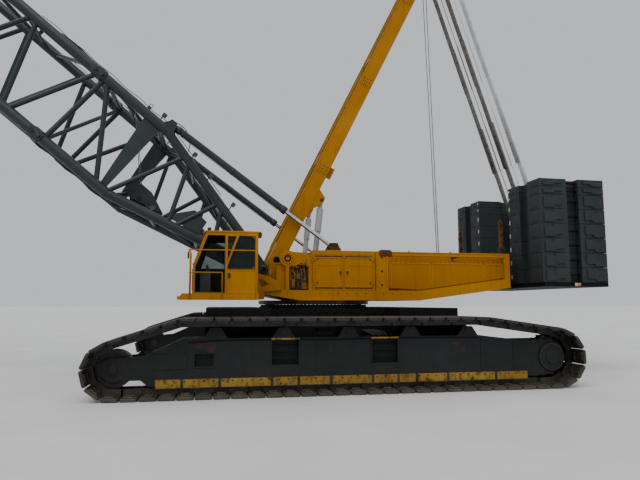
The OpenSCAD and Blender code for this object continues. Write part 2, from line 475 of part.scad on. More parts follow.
// ---- output ----
carbody();
slew_ring();
track_frame_left();
track_frame_right();
track_left();
track_right();
track_wheels();
track_rollers();
chain_guards();
upper_frame();
side_panels();
machinery_house();
engine();
valve_bank();
counterweight_tray();
counterweights_left();
counterweights_right();
rear_sheaves();
hoist_drum_front();
hoist_drum_rear();
luffing_drum();
house_door_front();
house_door_rear();
cab_platform();
cab();
cab_glass();
cab_seat();
cab_console();
cab_door();
cab_door_glass();
mast();
mast_sheaves();
mast_cylinders();
mast_cylinder_rods();
pendants();
reeving_upper();
reeving_middle();
reeving_lower();
boom_foot();
boom_middle();
boom_head();
boom_winch_drum();
boom_head_sheaves();
jib_lugs();
backstop_tubes();
backstop_rods();
hoist_falls();
hook_block();
hook();
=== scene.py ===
import math, random
import bpy, bmesh
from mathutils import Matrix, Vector


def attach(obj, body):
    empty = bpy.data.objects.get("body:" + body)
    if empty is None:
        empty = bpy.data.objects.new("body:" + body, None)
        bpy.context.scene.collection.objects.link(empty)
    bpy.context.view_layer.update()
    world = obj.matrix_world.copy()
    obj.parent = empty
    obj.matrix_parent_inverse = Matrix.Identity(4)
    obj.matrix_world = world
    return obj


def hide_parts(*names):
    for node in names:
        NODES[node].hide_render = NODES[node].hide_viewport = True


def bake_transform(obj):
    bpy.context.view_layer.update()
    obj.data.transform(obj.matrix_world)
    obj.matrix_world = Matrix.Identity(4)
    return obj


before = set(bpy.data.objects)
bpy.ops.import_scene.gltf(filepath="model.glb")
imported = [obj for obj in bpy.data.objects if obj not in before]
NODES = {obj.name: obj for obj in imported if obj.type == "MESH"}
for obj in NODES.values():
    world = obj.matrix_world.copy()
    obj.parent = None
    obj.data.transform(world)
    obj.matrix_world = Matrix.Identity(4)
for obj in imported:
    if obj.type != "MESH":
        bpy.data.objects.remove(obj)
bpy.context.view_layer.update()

rnd = random.Random(7)

# ---------------------------------------------------------------- places
PB = (1.680, 2.980); EL = math.radians(39.8)
PM = (1.300, 3.270); MA = math.radians(116.3); ML = 12.4


def on_boom(u, v, w):
    return Vector((PB[0] + u * math.cos(EL) - w * math.sin(EL), v, PB[1] + u * math.sin(EL) + w * math.cos(EL)))


def on_mast(u, v, w):
    return Vector((PM[0] + u * math.cos(MA) - w * math.sin(MA), v, PM[1] + u * math.sin(MA) + w * math.cos(MA)))


# ---------------------------------------------------------------- camera
cam_data = bpy.data.cameras.new("camera")
cam = bpy.data.objects.new("camera", cam_data)
bpy.context.scene.collection.objects.link(cam)
cam_data.sensor_width = 36.0
cam_data.lens = 552.0 / 640.0 * 36.0
cam_data.clip_end = 900.0
cam.location = (3.10, 17.05, 2.0)
cam.rotation_euler = (math.radians(90) + math.atan(64 / 552.0), 0.0, math.radians(169.0))
bpy.context.scene.camera = cam

# ---------------------------------------------------------------- light
world = bpy.data.worlds.new("studio")
bpy.context.scene.world = world
world.use_nodes = True
bg = world.node_tree.nodes["Background"]
bg.inputs["Color"].default_value = (0.86, 0.90, 0.95, 1)
bg.inputs["Strength"].default_value = 0.72


def sun(name, energy, angle, direction):
    d = bpy.data.lights.new(name, "SUN")
    d.energy = energy
    d.angle = math.radians(angle)
    o = bpy.data.objects.new(name, d)
    o.rotation_euler = Vector(direction).to_track_quat("-Z", "Y").to_euler()
    bpy.context.scene.collection.objects.link(o)


sun("key", 1.5, 50, (-0.35, -0.55, -1.0))
sun("fill", 0.35, 70, (0.6, 0.3, -0.8))


# ---------------------------------------------------------------- materials
def srgb(r, g, b):
    def c(x):
        x /= 255.0
        return x / 12.92 if x <= 0.04045 else ((x + 0.055) / 1.055) ** 2.4
    return (c(r), c(g), c(b), 1.0)


class Mat:
    """A procedural material built node by node, on coordinates fixed to the piece."""

    def __init__(self, name, metallic=0.0):
        self.m = bpy.data.materials.new(name)
        self.m.use_nodes = True
        self.nt = self.m.node_tree
        self.b = self.nt.nodes["Principled BSDF"]
        self.b.inputs["Metallic"].default_value = metallic
        self.tc = self.nt.nodes.new("ShaderNodeTexCoord").outputs["Object"]

    def n(self, kind, **kw):
        node = self.nt.nodes.new(kind)
        for k, v in kw.items():
            if hasattr(node, k):
                setattr(node, k, v)
            else:
                node.inputs[k.replace("_", " ")].default_value = v
        return node

    def link(self, a, b):
        self.nt.links.new(a, b)

    def scaled(self, s):
        mp = self.n("ShaderNodeMapping")
        mp.inputs["Scale"].default_value = s
        self.link(self.tc, mp.inputs["Vector"])
        return mp.outputs["Vector"]

    def noise(self, scale, detail=4.0, rough=0.55, vec=None):
        t = self.n("ShaderNodeTexNoise")
        t.inputs["Scale"].default_value = scale
        t.inputs["Detail"].default_value = detail
        t.inputs["Roughness"].default_value = rough
        self.link(vec or self.tc, t.inputs["Vector"])
        return t.outputs["Fac"]

    def ramp(self, fac, a, b, va=0.0, vb=1.0):
        r = self.n("ShaderNodeMapRange", clamp=True, interpolation_type="SMOOTHSTEP")
        self.link(fac, r.inputs["Value"])
        r.inputs["From Min"].default_value = a
        r.inputs["From Max"].default_value = b
        r.inputs["To Min"].default_value = va
        r.inputs["To Max"].default_value = vb
        return r.outputs["Result"]

    def math(self, op, a, b=None):
        m = self.n("ShaderNodeMath", operation=op)
        for i, x in enumerate((a, b)):
            if x is None:
                continue
            if isinstance(x, (int, float)):
                m.inputs[i].default_value = x
            else:
                self.link(x, m.inputs[i])
        return m.outputs[0]

    def mix(self, fac, a, b, blend="MIX"):
        m = self.n("ShaderNodeMix", data_type="RGBA", blend_type=blend)
        if isinstance(fac, (int, float)):
            m.inputs["Factor"].default_value = fac
        else:
            self.link(fac, m.inputs["Factor"])
        for key, x in ((6, a), (7, b)):
            if isinstance(x, tuple):
                m.inputs[key].default_value = x
            else:
                self.link(x, m.inputs[key])
        return m.outputs[2]

    def xyz(self):
        s = self.n("ShaderNodeSeparateXYZ")
        self.link(self.tc, s.inputs[0])
        return s.outputs

    def edges(self, radius=0.02, lo=0.02, hi=0.25):
        bv = self.n("ShaderNodeBevel", samples=3)
        bv.inputs["Radius"].default_value = radius
        g = self.n("ShaderNodeNewGeometry")
        d = self.n("ShaderNodeVectorMath", operation="DOT_PRODUCT")
        self.link(bv.outputs[0], d.inputs[0])
        self.link(g.outputs["Normal"], d.inputs[1])
        return self.ramp(self.math("SUBTRACT", 1.0, d.outputs["Value"]), lo, hi)

    def upward(self, lo=0.3, hi=0.9):
        g = self.n("ShaderNodeNewGeometry")
        s = self.n("ShaderNodeSeparateXYZ")
        self.link(g.outputs["Normal"], s.inputs[0])
        return self.ramp(s.outputs[2], lo, hi)

    def bump(self, height, strength=0.3, dist=0.01):
        bp = self.n("ShaderNodeBump")
        bp.inputs["Strength"].default_value = strength
        bp.inputs["Distance"].default_value = dist
        self.link(height, bp.inputs["Height"])
        self.link(bp.outputs[0], self.b.inputs["Normal"])

    def done(self, color, rough):
        self.link(color, self.b.inputs["Base Color"])
        if isinstance(rough, (int, float)):
            self.b.inputs["Roughness"].default_value = rough
        else:
            self.link(rough, self.b.inputs["Roughness"])
        return self.m


def paint(name, col, dark, light, dirt, rust=None, wear=None, dirt_amt=0.5, streak_amt=0.5, wear_amt=0.6,
          rust_amt=0.0, dust=None, dust_amt=0.0, dust_top=2.0, rough=(0.32, 0.6), grain=45.0, bump=0.25, edge_r=0.02, top_dust=0.0, mark=None, spec=0.3):
    m = Mat(name)
    m.b.inputs["Specular IOR Level"].default_value = spec
    big = m.noise(0.45, 3)
    mid = m.noise(3.3, 7, 0.62)
    fine = m.noise(grain, 5, 0.6)
    streak = m.noise(1.0, 6, 0.6, m.scaled((9.0, 9.0, 0.55)))
    c = m.mix(m.ramp(big, 0.35, 0.65), dark, col)
    c = m.mix(m.math("MULTIPLY", m.ramp(mid, 0.52, 0.75), 0.55), c, light)
    if mark:
        c = mark(m, c)
    d = m.math("MULTIPLY", m.ramp(streak, 0.48, 0.75), streak_amt)
    d2 = m.math("MULTIPLY", m.ramp(mid, 0.50, 0.72), dirt_amt)
    d = m.math("MAXIMUM", d, d2)
    c = m.mix(d, c, dirt)
    r = m.ramp(m.math("ADD", m.math("MULTIPLY", mid, 0.6), m.math("MULTIPLY", fine, 0.4)), 0.35, 0.7, rough[0], rough[1])
    if wear:
        e = m.edges(edge_r)
        f = m.math("MULTIPLY", m.math("MULTIPLY", e, m.ramp(m.noise(14, 5, 0.7), 0.42, 0.6)), wear_amt)
        c = m.mix(f, c, wear)
    if rust:
        spots = m.ramp(m.noise(6.5, 9, 0.72), 0.66 - 0.16 * rust_amt, 0.74 - 0.12 * rust_amt)
        c = m.mix(m.math("MULTIPLY", spots, min(1.0, 0.35 + rust_amt)), c, rust)
        r = m.math("MAXIMUM", r, m.math("MULTIPLY", spots, 0.85))
    if dust:
        z = m.xyz()[2]
        low = m.ramp(z, 0.0, dust_top, dust_amt, dust_amt * 0.25)
        f = m.math("MULTIPLY", low, m.ramp(m.noise(2.1, 6, 0.65), 0.3, 0.7, 0.35, 1.0))
        if top_dust:
            f = m.math("MAXIMUM", f, m.math("MULTIPLY", m.upward(), top_dust))
        c = m.mix(f, c, dust)
    h = m.math("ADD", m.math("MULTIPLY", fine, 0.5), m.math("MULTIPLY", mid, 0.5))
    m.bump(h, bump, 0.006)
    return m.done(c, r)


GRIME = srgb(62, 40, 8)
yellow_panel = paint("yellow_panel_paint", srgb(170, 110, 4), srgb(156, 98, 3), srgb(184, 126, 16), GRIME, rust=srgb(92, 50, 14), wear=srgb(112, 72, 28),
                     dirt_amt=0.22, streak_amt=0.36, wear_amt=0.5, rust_amt=0.06, rough=(0.3, 0.55), spec=0.13)
yellow_mast = paint("yellow_mast", srgb(176, 118, 4), srgb(162, 105, 3), srgb(192, 138, 26), GRIME, rust=srgb(92, 50, 14), wear=srgb(186, 142, 60),
                    dirt_amt=0.22, streak_amt=0.32, wear_amt=0.6, rust_amt=0.08, rough=(0.3, 0.55), spec=0.15)
yellow_worn = paint("yellow_worn", srgb(168, 134, 52), srgb(150, 112, 40), srgb(190, 160, 84), srgb(52, 38, 20), rust=srgb(66, 42, 24), wear=srgb(70, 48, 30),
                    dirt_amt=0.85, streak_amt=0.6, wear_amt=1.0, rust_amt=0.85, rough=(0.5, 0.85), dust=srgb(74, 54, 32), dust_amt=0.30, dust_top=0.5, spec=0.2)
green = paint("boom_paint", srgb(38, 47, 50), srgb(30, 37, 40), srgb(54, 65, 69), srgb(26, 25, 24), rust=srgb(66, 44, 30), wear=srgb(92, 96, 96),
              dirt_amt=0.35, streak_amt=0.2, wear_amt=0.45, rust_amt=0.08, rough=(0.3, 0.55), edge_r=0.012, spec=0.4)
tube_green = paint("backstop_paint", srgb(44, 49, 51), srgb(34, 38, 40), srgb(64, 70, 73), srgb(28, 28, 28), rust=srgb(60, 42, 32), wear=srgb(110, 114, 114),
                   dirt_amt=0.35, streak_amt=0.2, wear_amt=0.5, rust_amt=0.05, rough=(0.28, 0.48), spec=0.4)
grey = paint("grey_paint", srgb(29, 32, 33), srgb(23, 26, 27), srgb(46, 50, 50), srgb(20, 18, 15), rust=srgb(60, 40, 26), wear=srgb(76, 76, 70),
             dirt_amt=0.4, streak_amt=0.3, wear_amt=0.5, rust_amt=0.1, rough=(0.42, 0.7), spec=0.25)
black_grey = paint("undercarriage_paint", srgb(20, 22, 22), srgb(15, 16, 16), srgb(32, 34, 33), srgb(14, 12, 10), rust=srgb(40, 28, 20), wear=srgb(52, 50, 46),
                   dirt_amt=0.4, streak_amt=0.3, wear_amt=0.4, rust_amt=0.1, rough=(0.5, 0.8), spec=0.12)


def posts(m, c):
    """Weathered brown on the rear posts that stand above the rail, dark backstop lugs, and painted shade below the deck
    and inside the cab shell.
    """
    x, y, z = m.xyz()
    k = m.math("MULTIPLY", m.math("LESS_THAN", x, -5.50), m.math("GREATER_THAN", z, 3.70))
    c = m.mix(m.math("MULTIPLY", k, m.ramp(m.noise(6.0, 6), 0.2, 0.7, 0.7, 1.0)), c, srgb(58, 40, 26))
    # the lugs that carry the feet of the backstops are dark and greasy
    k = m.math("MULTIPLY", m.math("MULTIPLY", m.math("LESS_THAN", x, -0.06), m.math("GREATER_THAN", x, -0.64)), m.math("GREATER_THAN", z, 3.56))
    c = m.mix(m.math("MULTIPLY", k, m.ramp(m.noise(9.0, 6), 0.2, 0.7, 0.75, 1.0)), c, srgb(34, 30, 27))
    # painted shade: the underside and ring below the deck are painted near-black
    c = m.mix(m.math("MULTIPLY", m.math("LESS_THAN", z, 2.10), m.ramp(m.noise(3.0, 6), 0.2, 0.7, 0.85, 1.0)), c, srgb(20, 18, 16))
    # painted shade: the inside of the cab shell is painted near-black
    front = m.math("SUBTRACT", 3.565, m.math("MULTIPLY", m.math("MAXIMUM", m.math("SUBTRACT", z, 2.95), 0.0), 0.3556))
    k = m.math("MULTIPLY", m.math("LESS_THAN", x, front), m.math("GREATER_THAN", x, 1.965))
    k = m.math("MULTIPLY", k, m.math("MULTIPLY", m.math("LESS_THAN", y, 2.735), m.math("GREATER_THAN", y, 1.665)))
    k = m.math("MULTIPLY", k, m.math("MULTIPLY", m.math("LESS_THAN", z, 3.825), m.math("GREATER_THAN", z, 2.235)))
    return m.mix(m.math("MULTIPLY", k, m.ramp(m.noise(14.0, 6), 0.2, 0.7, 0.9, 1.0)), c, srgb(24, 22, 20))


def high_shoes_painted_shade(m, c):
    """Painted shade on the shoes that stand off the ground, darker with height."""
    x, y, z = m.xyz()
    k = m.ramp(z, 0.12, 0.5, 0.0, 0.72)
    return m.mix(m.math("MULTIPLY", k, m.ramp(m.noise(4.0, 6), 0.2, 0.7, 0.8, 1.0)), c, srgb(14, 13, 12))


def triangles(m, c):
    """Faded red triangles on the outer side of the left track frame."""
    x, y, z = m.xyz()
    keep = m.math("GREATER_THAN", y, 4.54)
    for x0, x1, z0, z1 in ((-2.88, -2.52, 0.76, 1.10), (0.40, 0.54, 0.90, 1.06), (3.0, 3.7, 0.92, 1.16)):
        # the red field points down and to the front
        s = m.math("SUBTRACT", m.math("SUBTRACT", x1, x), m.math("MULTIPLY", m.math("SUBTRACT", z1, z), (x1 - x0) / (z1 - z0)))
        t = m.math("MULTIPLY", m.math("GREATER_THAN", s, 0.0), m.math("MULTIPLY", m.math("GREATER_THAN", x, x0), m.math("LESS_THAN", z, z1)))
        t = m.math("MULTIPLY", t, m.math("GREATER_THAN", z, z0))
        c = m.mix(m.math("MULTIPLY", m.math("MULTIPLY", t, keep), m.ramp(m.noise(5.5, 8), 0.38, 0.66, 0.0, 0.6)), c, srgb(92, 34, 36))
    return c


# the posts mark also paints shade: near-black below the deck and inside the cab shell
yellow = paint("yellow_paint", srgb(188, 126, 2), srgb(172, 111, 2), srgb(200, 142, 14), GRIME, rust=srgb(92, 50, 14), wear=srgb(120, 78, 30),
               dirt_amt=0.16, streak_amt=0.30, wear_amt=0.5, rust_amt=0.06, rough=(0.28, 0.5), mark=posts, spec=0.13)
frame_grey = paint("track_frame_paint", srgb(34, 39, 41), srgb(28, 32, 34), srgb(46, 51, 52), srgb(22, 20, 18), rust=srgb(52, 36, 26), wear=srgb(78, 76, 70),
                   dirt_amt=0.45, streak_amt=0.35, wear_amt=0.6, rust_amt=0.08, rough=(0.5, 0.8), dust=srgb(74, 68, 58), dust_amt=0.22, dust_top=1.4, top_dust=0.35, mark=triangles, spec=0.2)
shoe = paint("track_steel", srgb(34, 30, 25), srgb(24, 21, 18), srgb(54, 47, 38), srgb(18, 16, 14), rust=srgb(60, 42, 28), wear=srgb(84, 78, 66),
             dirt_amt=0.5, streak_amt=0.2, wear_amt=0.7, rust_amt=0.35, rough=(0.38, 0.7), dust=srgb(96, 86, 70), dust_amt=0.6, dust_top=0.5, bump=0.3, top_dust=0.22, mark=high_shoes_painted_shade, spec=0.5)
slab = paint("slab_paint", srgb(47, 55, 56), srgb(38, 44, 45), srgb(64, 73, 73), srgb(25, 25, 24), rust=srgb(58, 44, 33), wear=srgb(84, 90, 88),
             dirt_amt=0.35, streak_amt=0.45, wear_amt=0.55, rust_amt=0.06, rough=(0.5, 0.75), grain=26, bump=0.6, edge_r=0.03, spec=0.25)
silver = paint("silver_paint", srgb(176, 178, 180), srgb(160, 160, 162), srgb(196, 198, 200), srgb(80, 76, 72), rust=None, wear=srgb(120, 120, 120),
               dirt_amt=0.4, streak_amt=0.4, wear_amt=0.5, rough=(0.3, 0.5))
white = paint("white_paint", srgb(200, 198, 190), srgb(186, 184, 176), srgb(216, 214, 208), srgb(90, 82, 70), wear=srgb(120, 110, 90), dirt_amt=0.4, streak_amt=0.4, rough=(0.35, 0.55))
# rust brown with rust spots, used as painted shade in the dark opening behind the rail
brown = paint("rust_brown_shade_fill", srgb(104, 58, 22), srgb(86, 46, 18), srgb(130, 80, 36), srgb(42, 28, 18), rust=srgb(72, 40, 20), wear=srgb(130, 102, 66), dirt_amt=0.5, streak_amt=0.4, rust_amt=0.5, rough=(0.5, 0.8), spec=0.2)
ochre = paint("ochre_parts", srgb(150, 98, 10), srgb(122, 76, 8), srgb(176, 124, 30), srgb(48, 32, 12), rust=srgb(72, 40, 20), wear=srgb(150, 120, 70), dirt_amt=0.5, streak_amt=0.4, rust_amt=0.3, rough=(0.4, 0.7), spec=0.2)


def metal(name, col, light, rough, scale, bump, aniso=None, metallic=1.0):
    m = Mat(name, metallic)
    n1 = m.noise(scale, 5, 0.6, m.scaled(aniso) if aniso else None)
    n2 = m.noise(4.0, 6, 0.6)
    c = m.mix(m.ramp(n2, 0.35, 0.7), col, light)
    r = m.ramp(n1, 0.3, 0.7, rough[0], rough[1])
    m.bump(n1, bump, 0.003)
    return m.done(c, r)


chrome = metal("rod_chrome", srgb(196, 198, 200), srgb(226, 228, 230), (0.08, 0.22), 90, 0.03)
steel = metal("machined_steel", srgb(120, 118, 112), srgb(150, 148, 142), (0.3, 0.55), 60, 0.1)
dark_steel = metal("dark_steel", srgb(58, 56, 54), srgb(86, 84, 80), (0.4, 0.65), 40, 0.2)


def rope_material(name, lo, hi, groove, metallic=0.35):
    m = Mat(name, metallic)
    w = m.n("ShaderNodeTexWave", wave_type="BANDS", bands_direction="DIAGONAL")
    w.inputs["Scale"].default_value = 16.0
    w.inputs["Distortion"].default_value = 0.6
    m.link(m.tc, w.inputs["Vector"])
    n = m.noise(5, 4)
    c = m.mix(m.ramp(n, 0.3, 0.7), lo, hi)
    c = m.mix(m.math("MULTIPLY", w.outputs["Fac"], 0.4), c, groove)
    m.bump(w.outputs["Fac"], 0.5, 0.004)
    return m.done(c, m.ramp(n, 0.3, 0.7, 0.45, 0.7))


rope = rope_material("rope_steel", srgb(112, 106, 102), srgb(150, 146, 142), srgb(62, 56, 52))
# painted highlight: the same steel rope painted much lighter, used for the near reeving ropes
rope_painted_highlight = rope_material("rope_painted_highlight", srgb(206, 208, 212), srgb(232, 234, 236), srgb(160, 160, 160), 0.1)


def rubber_material(name, a, b):
    m = Mat(name)
    n = m.noise(30, 6, 0.65)
    k = m.noise(3, 5)
    c = m.mix(m.ramp(k, 0.35, 0.7), a, b)
    m.bump(n, 0.2, 0.002)
    return m.done(c, m.ramp(n, 0.3, 0.7, 0.5, 0.75))


rubber = rubber_material("hose_rubber", srgb(20, 20, 21), srgb(44, 42, 40))
plastic = rubber_material("console_plastic", srgb(30, 31, 33), srgb(44, 45, 47))
orange_hose = rubber_material("wire_loom", srgb(88, 54, 26), srgb(120, 80, 40))
copper = metal("pipe_steel", srgb(112, 88, 56), srgb(150, 124, 84), (0.35, 0.6), 50, 0.1, metallic=0.6)


def fabric_material():
    m = Mat("seat_fabric")
    a = m.n("ShaderNodeTexWave", wave_type="BANDS", bands_direction="X")
    b = m.n("ShaderNodeTexWave", wave_type="BANDS", bands_direction="Z")
    for w in (a, b):
        w.inputs["Scale"].default_value = 90.0
        m.link(m.tc, w.inputs["Vector"])
    h = m.math("MULTIPLY", a.outputs["Fac"], b.outputs["Fac"])
    n = m.noise(9, 5)
    c = m.mix(h, srgb(26, 27, 30), srgb(52, 54, 58))
    c = m.mix(m.math("MULTIPLY", m.ramp(n, 0.5, 0.75), 0.4), c, srgb(84, 80, 74))
    m.bump(h, 0.4, 0.002)
    m.b.inputs["Sheen Weight"].default_value = 0.3
    return m.done(c, 0.85)


fabric = fabric_material()


def glass_material():
    m = Mat("cab_glass")
    n = m.noise(5, 6, 0.65)
    s = m.noise(1.5, 5, 0.6, m.scaled((6, 6, 0.6)))
    c = m.mix(m.ramp(n, 0.4, 0.75), srgb(120, 130, 128), srgb(96, 102, 96))
    r = m.ramp(s, 0.45, 0.75, 0.03, 0.22)
    m.b.inputs["Transmission Weight"].default_value = 0.92
    m.b.inputs["IOR"].default_value = 1.2
    return m.done(c, r)


glass = glass_material()


def lamp_glass(name, a, b, strength=0.0):
    m = Mat(name)
    v = m.n("ShaderNodeTexVoronoi")
    v.inputs["Scale"].default_value = 60
    m.link(m.tc, v.inputs["Vector"])
    c = m.mix(v.outputs["Distance"], a, b)
    m.bump(v.outputs["Distance"], 0.5, 0.004)
    m.b.inputs["Coat Weight"].default_value = 0.6
    return m.done(c, 0.2)


amber = lamp_glass("amber_lens", srgb(206, 92, 20), srgb(236, 132, 40))
clear = lamp_glass("clear_lens", srgb(190, 192, 192), srgb(232, 234, 234))
dark_lens = lamp_glass("dark_lens", srgb(24, 26, 28), srgb(60, 64, 68))
red_lens = lamp_glass("red_lens", srgb(126, 20, 18), srgb(166, 40, 32))

def engine_iron():
    return paint("engine_iron", srgb(60, 62, 62), srgb(48, 50, 50), srgb(84, 86, 84), srgb(26, 22, 18), rust=srgb(80, 54, 36), wear=srgb(110, 108, 100), dirt_amt=0.6, streak_amt=0.5, rust_amt=0.2)


NODE_MATS = {
    "yellow": (yellow, ["upper_frame", "machinery_house", "cab_platform", "cab", "cab_door", "house_door_front", "house_door_rear", "hook_block"]),
    "mast": (yellow_mast, ["mast"]),
    "panel": (yellow_panel, ["side_panels"]),
    "worn": (yellow_worn, ["chain_guards"]),
    "green": (green, ["boom_foot", "boom_middle", "boom_head", "jib_lugs"]),
    "tube": (tube_green, ["backstop_tubes"]),
    "frame": (frame_grey, ["track_frame_left", "track_frame_right"]),
    "under": (black_grey, ["carbody", "slew_ring"]),
    "tray": (black_grey, ["counterweight_tray"]),
    "grey": (grey, ["valve_bank", "hoist_drum_front", "hoist_drum_rear", "luffing_drum", "boom_winch_drum", "pendants", "mast_sheaves", "rear_sheaves", "boom_head_sheaves", "track_rollers"]),
    "wheels": (shoe, ["track_wheels"]),
    "slab": (slab, ["counterweights_left", "counterweights_right"]),
    "silver": (silver, ["mast_cylinders"]),
    "hook": (dark_steel, ["hook"]),
    "rope": (rope, ["reeving_upper", "reeving_middle", "reeving_lower", "hoist_falls"]),
    "chrome": (chrome, ["mast_cylinder_rods", "backstop_rods"]),
    "engine": (engine_iron(), ["engine"]),
    "glass": (glass, ["cab_glass", "cab_door_glass"]),
    "plastic": (plastic, ["cab_console"]),
    "shoe": (shoe, ["track_left", "track_right"]),
    "fabric": (fabric, ["cab_seat"]),
}
for mt, names in NODE_MATS.values():
    for nm in names:
        o = NODES[nm]
        o.data.materials.clear()
        o.data.materials.append(mt)


def soften(names, width, segments=2, angle=35):
    """Rounds the sharp edges of a CAD node with a modifier."""
    for nm in names:
        b = NODES[nm].modifiers.new("soften", "BEVEL")
        b.width = width
        b.segments = segments
        b.limit_method = "ANGLE"
        b.angle_limit = math.radians(angle)
        b.harden_normals = False
        b.use_clamp_overlap = True


# ---------------------------------------------------------------- mesh making
class MB:
    """Collects simple shapes into one mesh."""

    def __init__(self):
        self.v = []; self.f = []; self.s = []

    def add(self, verts, faces, smooth=False):
        k = len(self.v)
        self.v.extend([tuple(p) for p in verts])
        for i, f in enumerate(faces):
            self.f.append(tuple(k + j for j in f))
            self.s.append(smooth[i] if isinstance(smooth, list) else smooth)

    def box(self, x0, x1, y0, y1, z0, z1, fn=None):
        p = [(x, y, z) for x in (x0, x1) for y in (y0, y1) for z in (z0, z1)]
        if fn:
            p = [fn(*q) for q in p]
        self.add(p, [(0, 1, 3, 2), (4, 6, 7, 5), (0, 4, 5, 1), (2, 3, 7, 6), (0, 2, 6, 4), (1, 5, 7, 3)])

    def prism(self, pts, y0, y1, fn=None):
        n = len(pts)
        p = [(x, y0, z) for x, z in pts] + [(x, y1, z) for x, z in pts]
        if fn:
            p = [fn(*q) for q in p]
        faces = [tuple(range(n)), tuple(range(2 * n - 1, n - 1, -1))]
        faces += [(i, i + n, (i + 1) % n + n, (i + 1) % n) for i in range(n)]
        self.add(p, faces)

    def cyl(self, p, q, r, r2=None, n=16, caps=True):
        p, q = Vector(p), Vector(q)
        d = (q - p).normalized()
        a = d.orthogonal().normalized(); b = d.cross(a)
        r2 = r if r2 is None else r2
        vs = []
        for c, rr in ((p, r), (q, r2)):
            for i in range(n):
                t = 2 * math.pi * i / n
                vs.append(c + a * rr * math.cos(t) + b * rr * math.sin(t))
        faces = [(i, (i + 1) % n, (i + 1) % n + n, i + n) for i in range(n)]
        sm = [True] * n
        if caps:
            faces += [tuple(range(n - 1, -1, -1)), tuple(range(n, 2 * n))]
            sm += [False, False]
        self.add(vs, faces, sm)

    def lathe(self, c, axis, prof, n=24):
        """prof: list of (distance along the axis, radius)."""
        c = Vector(c); d = Vector(axis).normalized(); a = d.orthogonal().normalized(); b = d.cross(a)
        vs = []
        for s, r in prof:
            for i in range(n):
                t = 2 * math.pi * i / n
                vs.append(c + d * s + (a * math.cos(t) + b * math.sin(t)) * max(r, 1e-4))
        faces = []; sm = []
        for k in range(len(prof) - 1):
            for i in range(n):
                faces.append((k * n + i, k * n + (i + 1) % n, (k + 1) * n + (i + 1) % n, (k + 1) * n + i)); sm.append(True)
        faces.append(tuple(range(n - 1, -1, -1))); sm.append(False)
        k = (len(prof) - 1) * n
        faces.append(tuple(range(k, k + n))); sm.append(False)
        self.add(vs, faces, sm)

    def ring(self, c, axis, prof, n=28):
        """A closed ring: prof is a closed list of (distance along the axis, radius)."""
        c = Vector(c); d = Vector(axis).normalized(); a = d.orthogonal().normalized(); b = d.cross(a)
        m = len(prof)
        vs = [c + d * s + (a * math.cos(2 * math.pi * i / n) + b * math.sin(2 * math.pi * i / n)) * r for s, r in prof for i in range(n)]
        self.add(vs, [(k * n + i, k * n + (i + 1) % n, ((k + 1) % m) * n + (i + 1) % n, ((k + 1) % m) * n + i) for k in range(m) for i in range(n)], True)

    def tube(self, pts, r, n=8, closed=False):
        pts = [Vector(p) for p in pts]
        m = len(pts)
        tang = []
        for i in range(m):
            a = pts[(i - 1) % m] if closed else pts[max(i - 1, 0)]
            b = pts[(i + 1) % m] if closed else pts[min(i + 1, m - 1)]
            tang.append((b - a).normalized())
        nrm = tang[0].orthogonal().normalized()
        vs = []
        for i in range(m):
            nrm = (nrm - tang[i] * nrm.dot(tang[i])).normalized()
            bi = tang[i].cross(nrm)
            for k in range(n):
                t = 2 * math.pi * k / n
                vs.append(pts[i] + (nrm * math.cos(t) + bi * math.sin(t)) * r)
        faces = []; sm = []
        for i in range(m if closed else m - 1):
            for k in range(n):
                j = (i + 1) % m
                faces.append((i * n + k, i * n + (k + 1) % n, j * n + (k + 1) % n, j * n + k)); sm.append(True)
        if not closed:
            faces += [tuple(range(n - 1, -1, -1)), tuple(range((m - 1) * n, m * n))]
            sm += [False, False]
        self.add(vs, faces, sm)

    def bolt(self, p, axis, r=0.022, h=0.016):
        p = Vector(p); d = Vector(axis).normalized()
        self.cyl(p, p + d * h * 0.35, r * 1.35, n=14)
        a = d.orthogonal().normalized(); b = d.cross(a)
        lo, hi = p + d * h * 0.35, p + d * h
        vs = []
        for c, rr in ((lo, r), (hi, r * 0.94)):
            for i in range(6):
                t = math.pi / 3 * i
                vs.append(c + a * rr * math.cos(t) + b * rr * math.sin(t))
        self.add(vs, [(i, (i + 1) % 6, (i + 1) % 6 + 6, i + 6) for i in range(6)] + [(5, 4, 3, 2, 1, 0), (6, 7, 8, 9, 10, 11)])

    def make(self, name, mat, body, bevel=0.0, segments=2, slot=None):
        me = bpy.data.meshes.new(name)
        me.from_pydata(self.v, [], self.f)
        me.polygons.foreach_set("use_smooth", self.s)
        me.update()
        bm = bmesh.new(); bm.from_mesh(me)
        bmesh.ops.recalc_face_normals(bm, faces=bm.faces)
        bm.to_mesh(me); bm.free()
        me.materials.append(mat)
        o = bpy.data.objects.new(name, me)
        bpy.context.scene.collection.objects.link(o)
        if bevel:
            b = o.modifiers.new("bevel", "BEVEL")
            b.width = bevel; b.segments = segments
            b.limit_method = "ANGLE"; b.angle_limit = math.radians(40)
        if body:
            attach(o, body)
        return o


def smooth_path(pts, per=6):
    """Catmull-Rom points through pts."""
    P = [Vector(p) for p in pts]
    P = [P[0] * 2 - P[1]] + P + [P[-1] * 2 - P[-2]]
    out = []
    for i in range(1, len(P) - 2):
        for k in range(per):
            t = k / per
            a, b, c, d = P[i - 1], P[i], P[i + 1], P[i + 2]
            out.append(0.5 * ((2 * b) + (c - a) * t + (2 * a - 5 * b + 4 * c - d) * t * t + (-a + 3 * b - 3 * c + d) * t ** 3))
    out.append(P[-2])
    return out


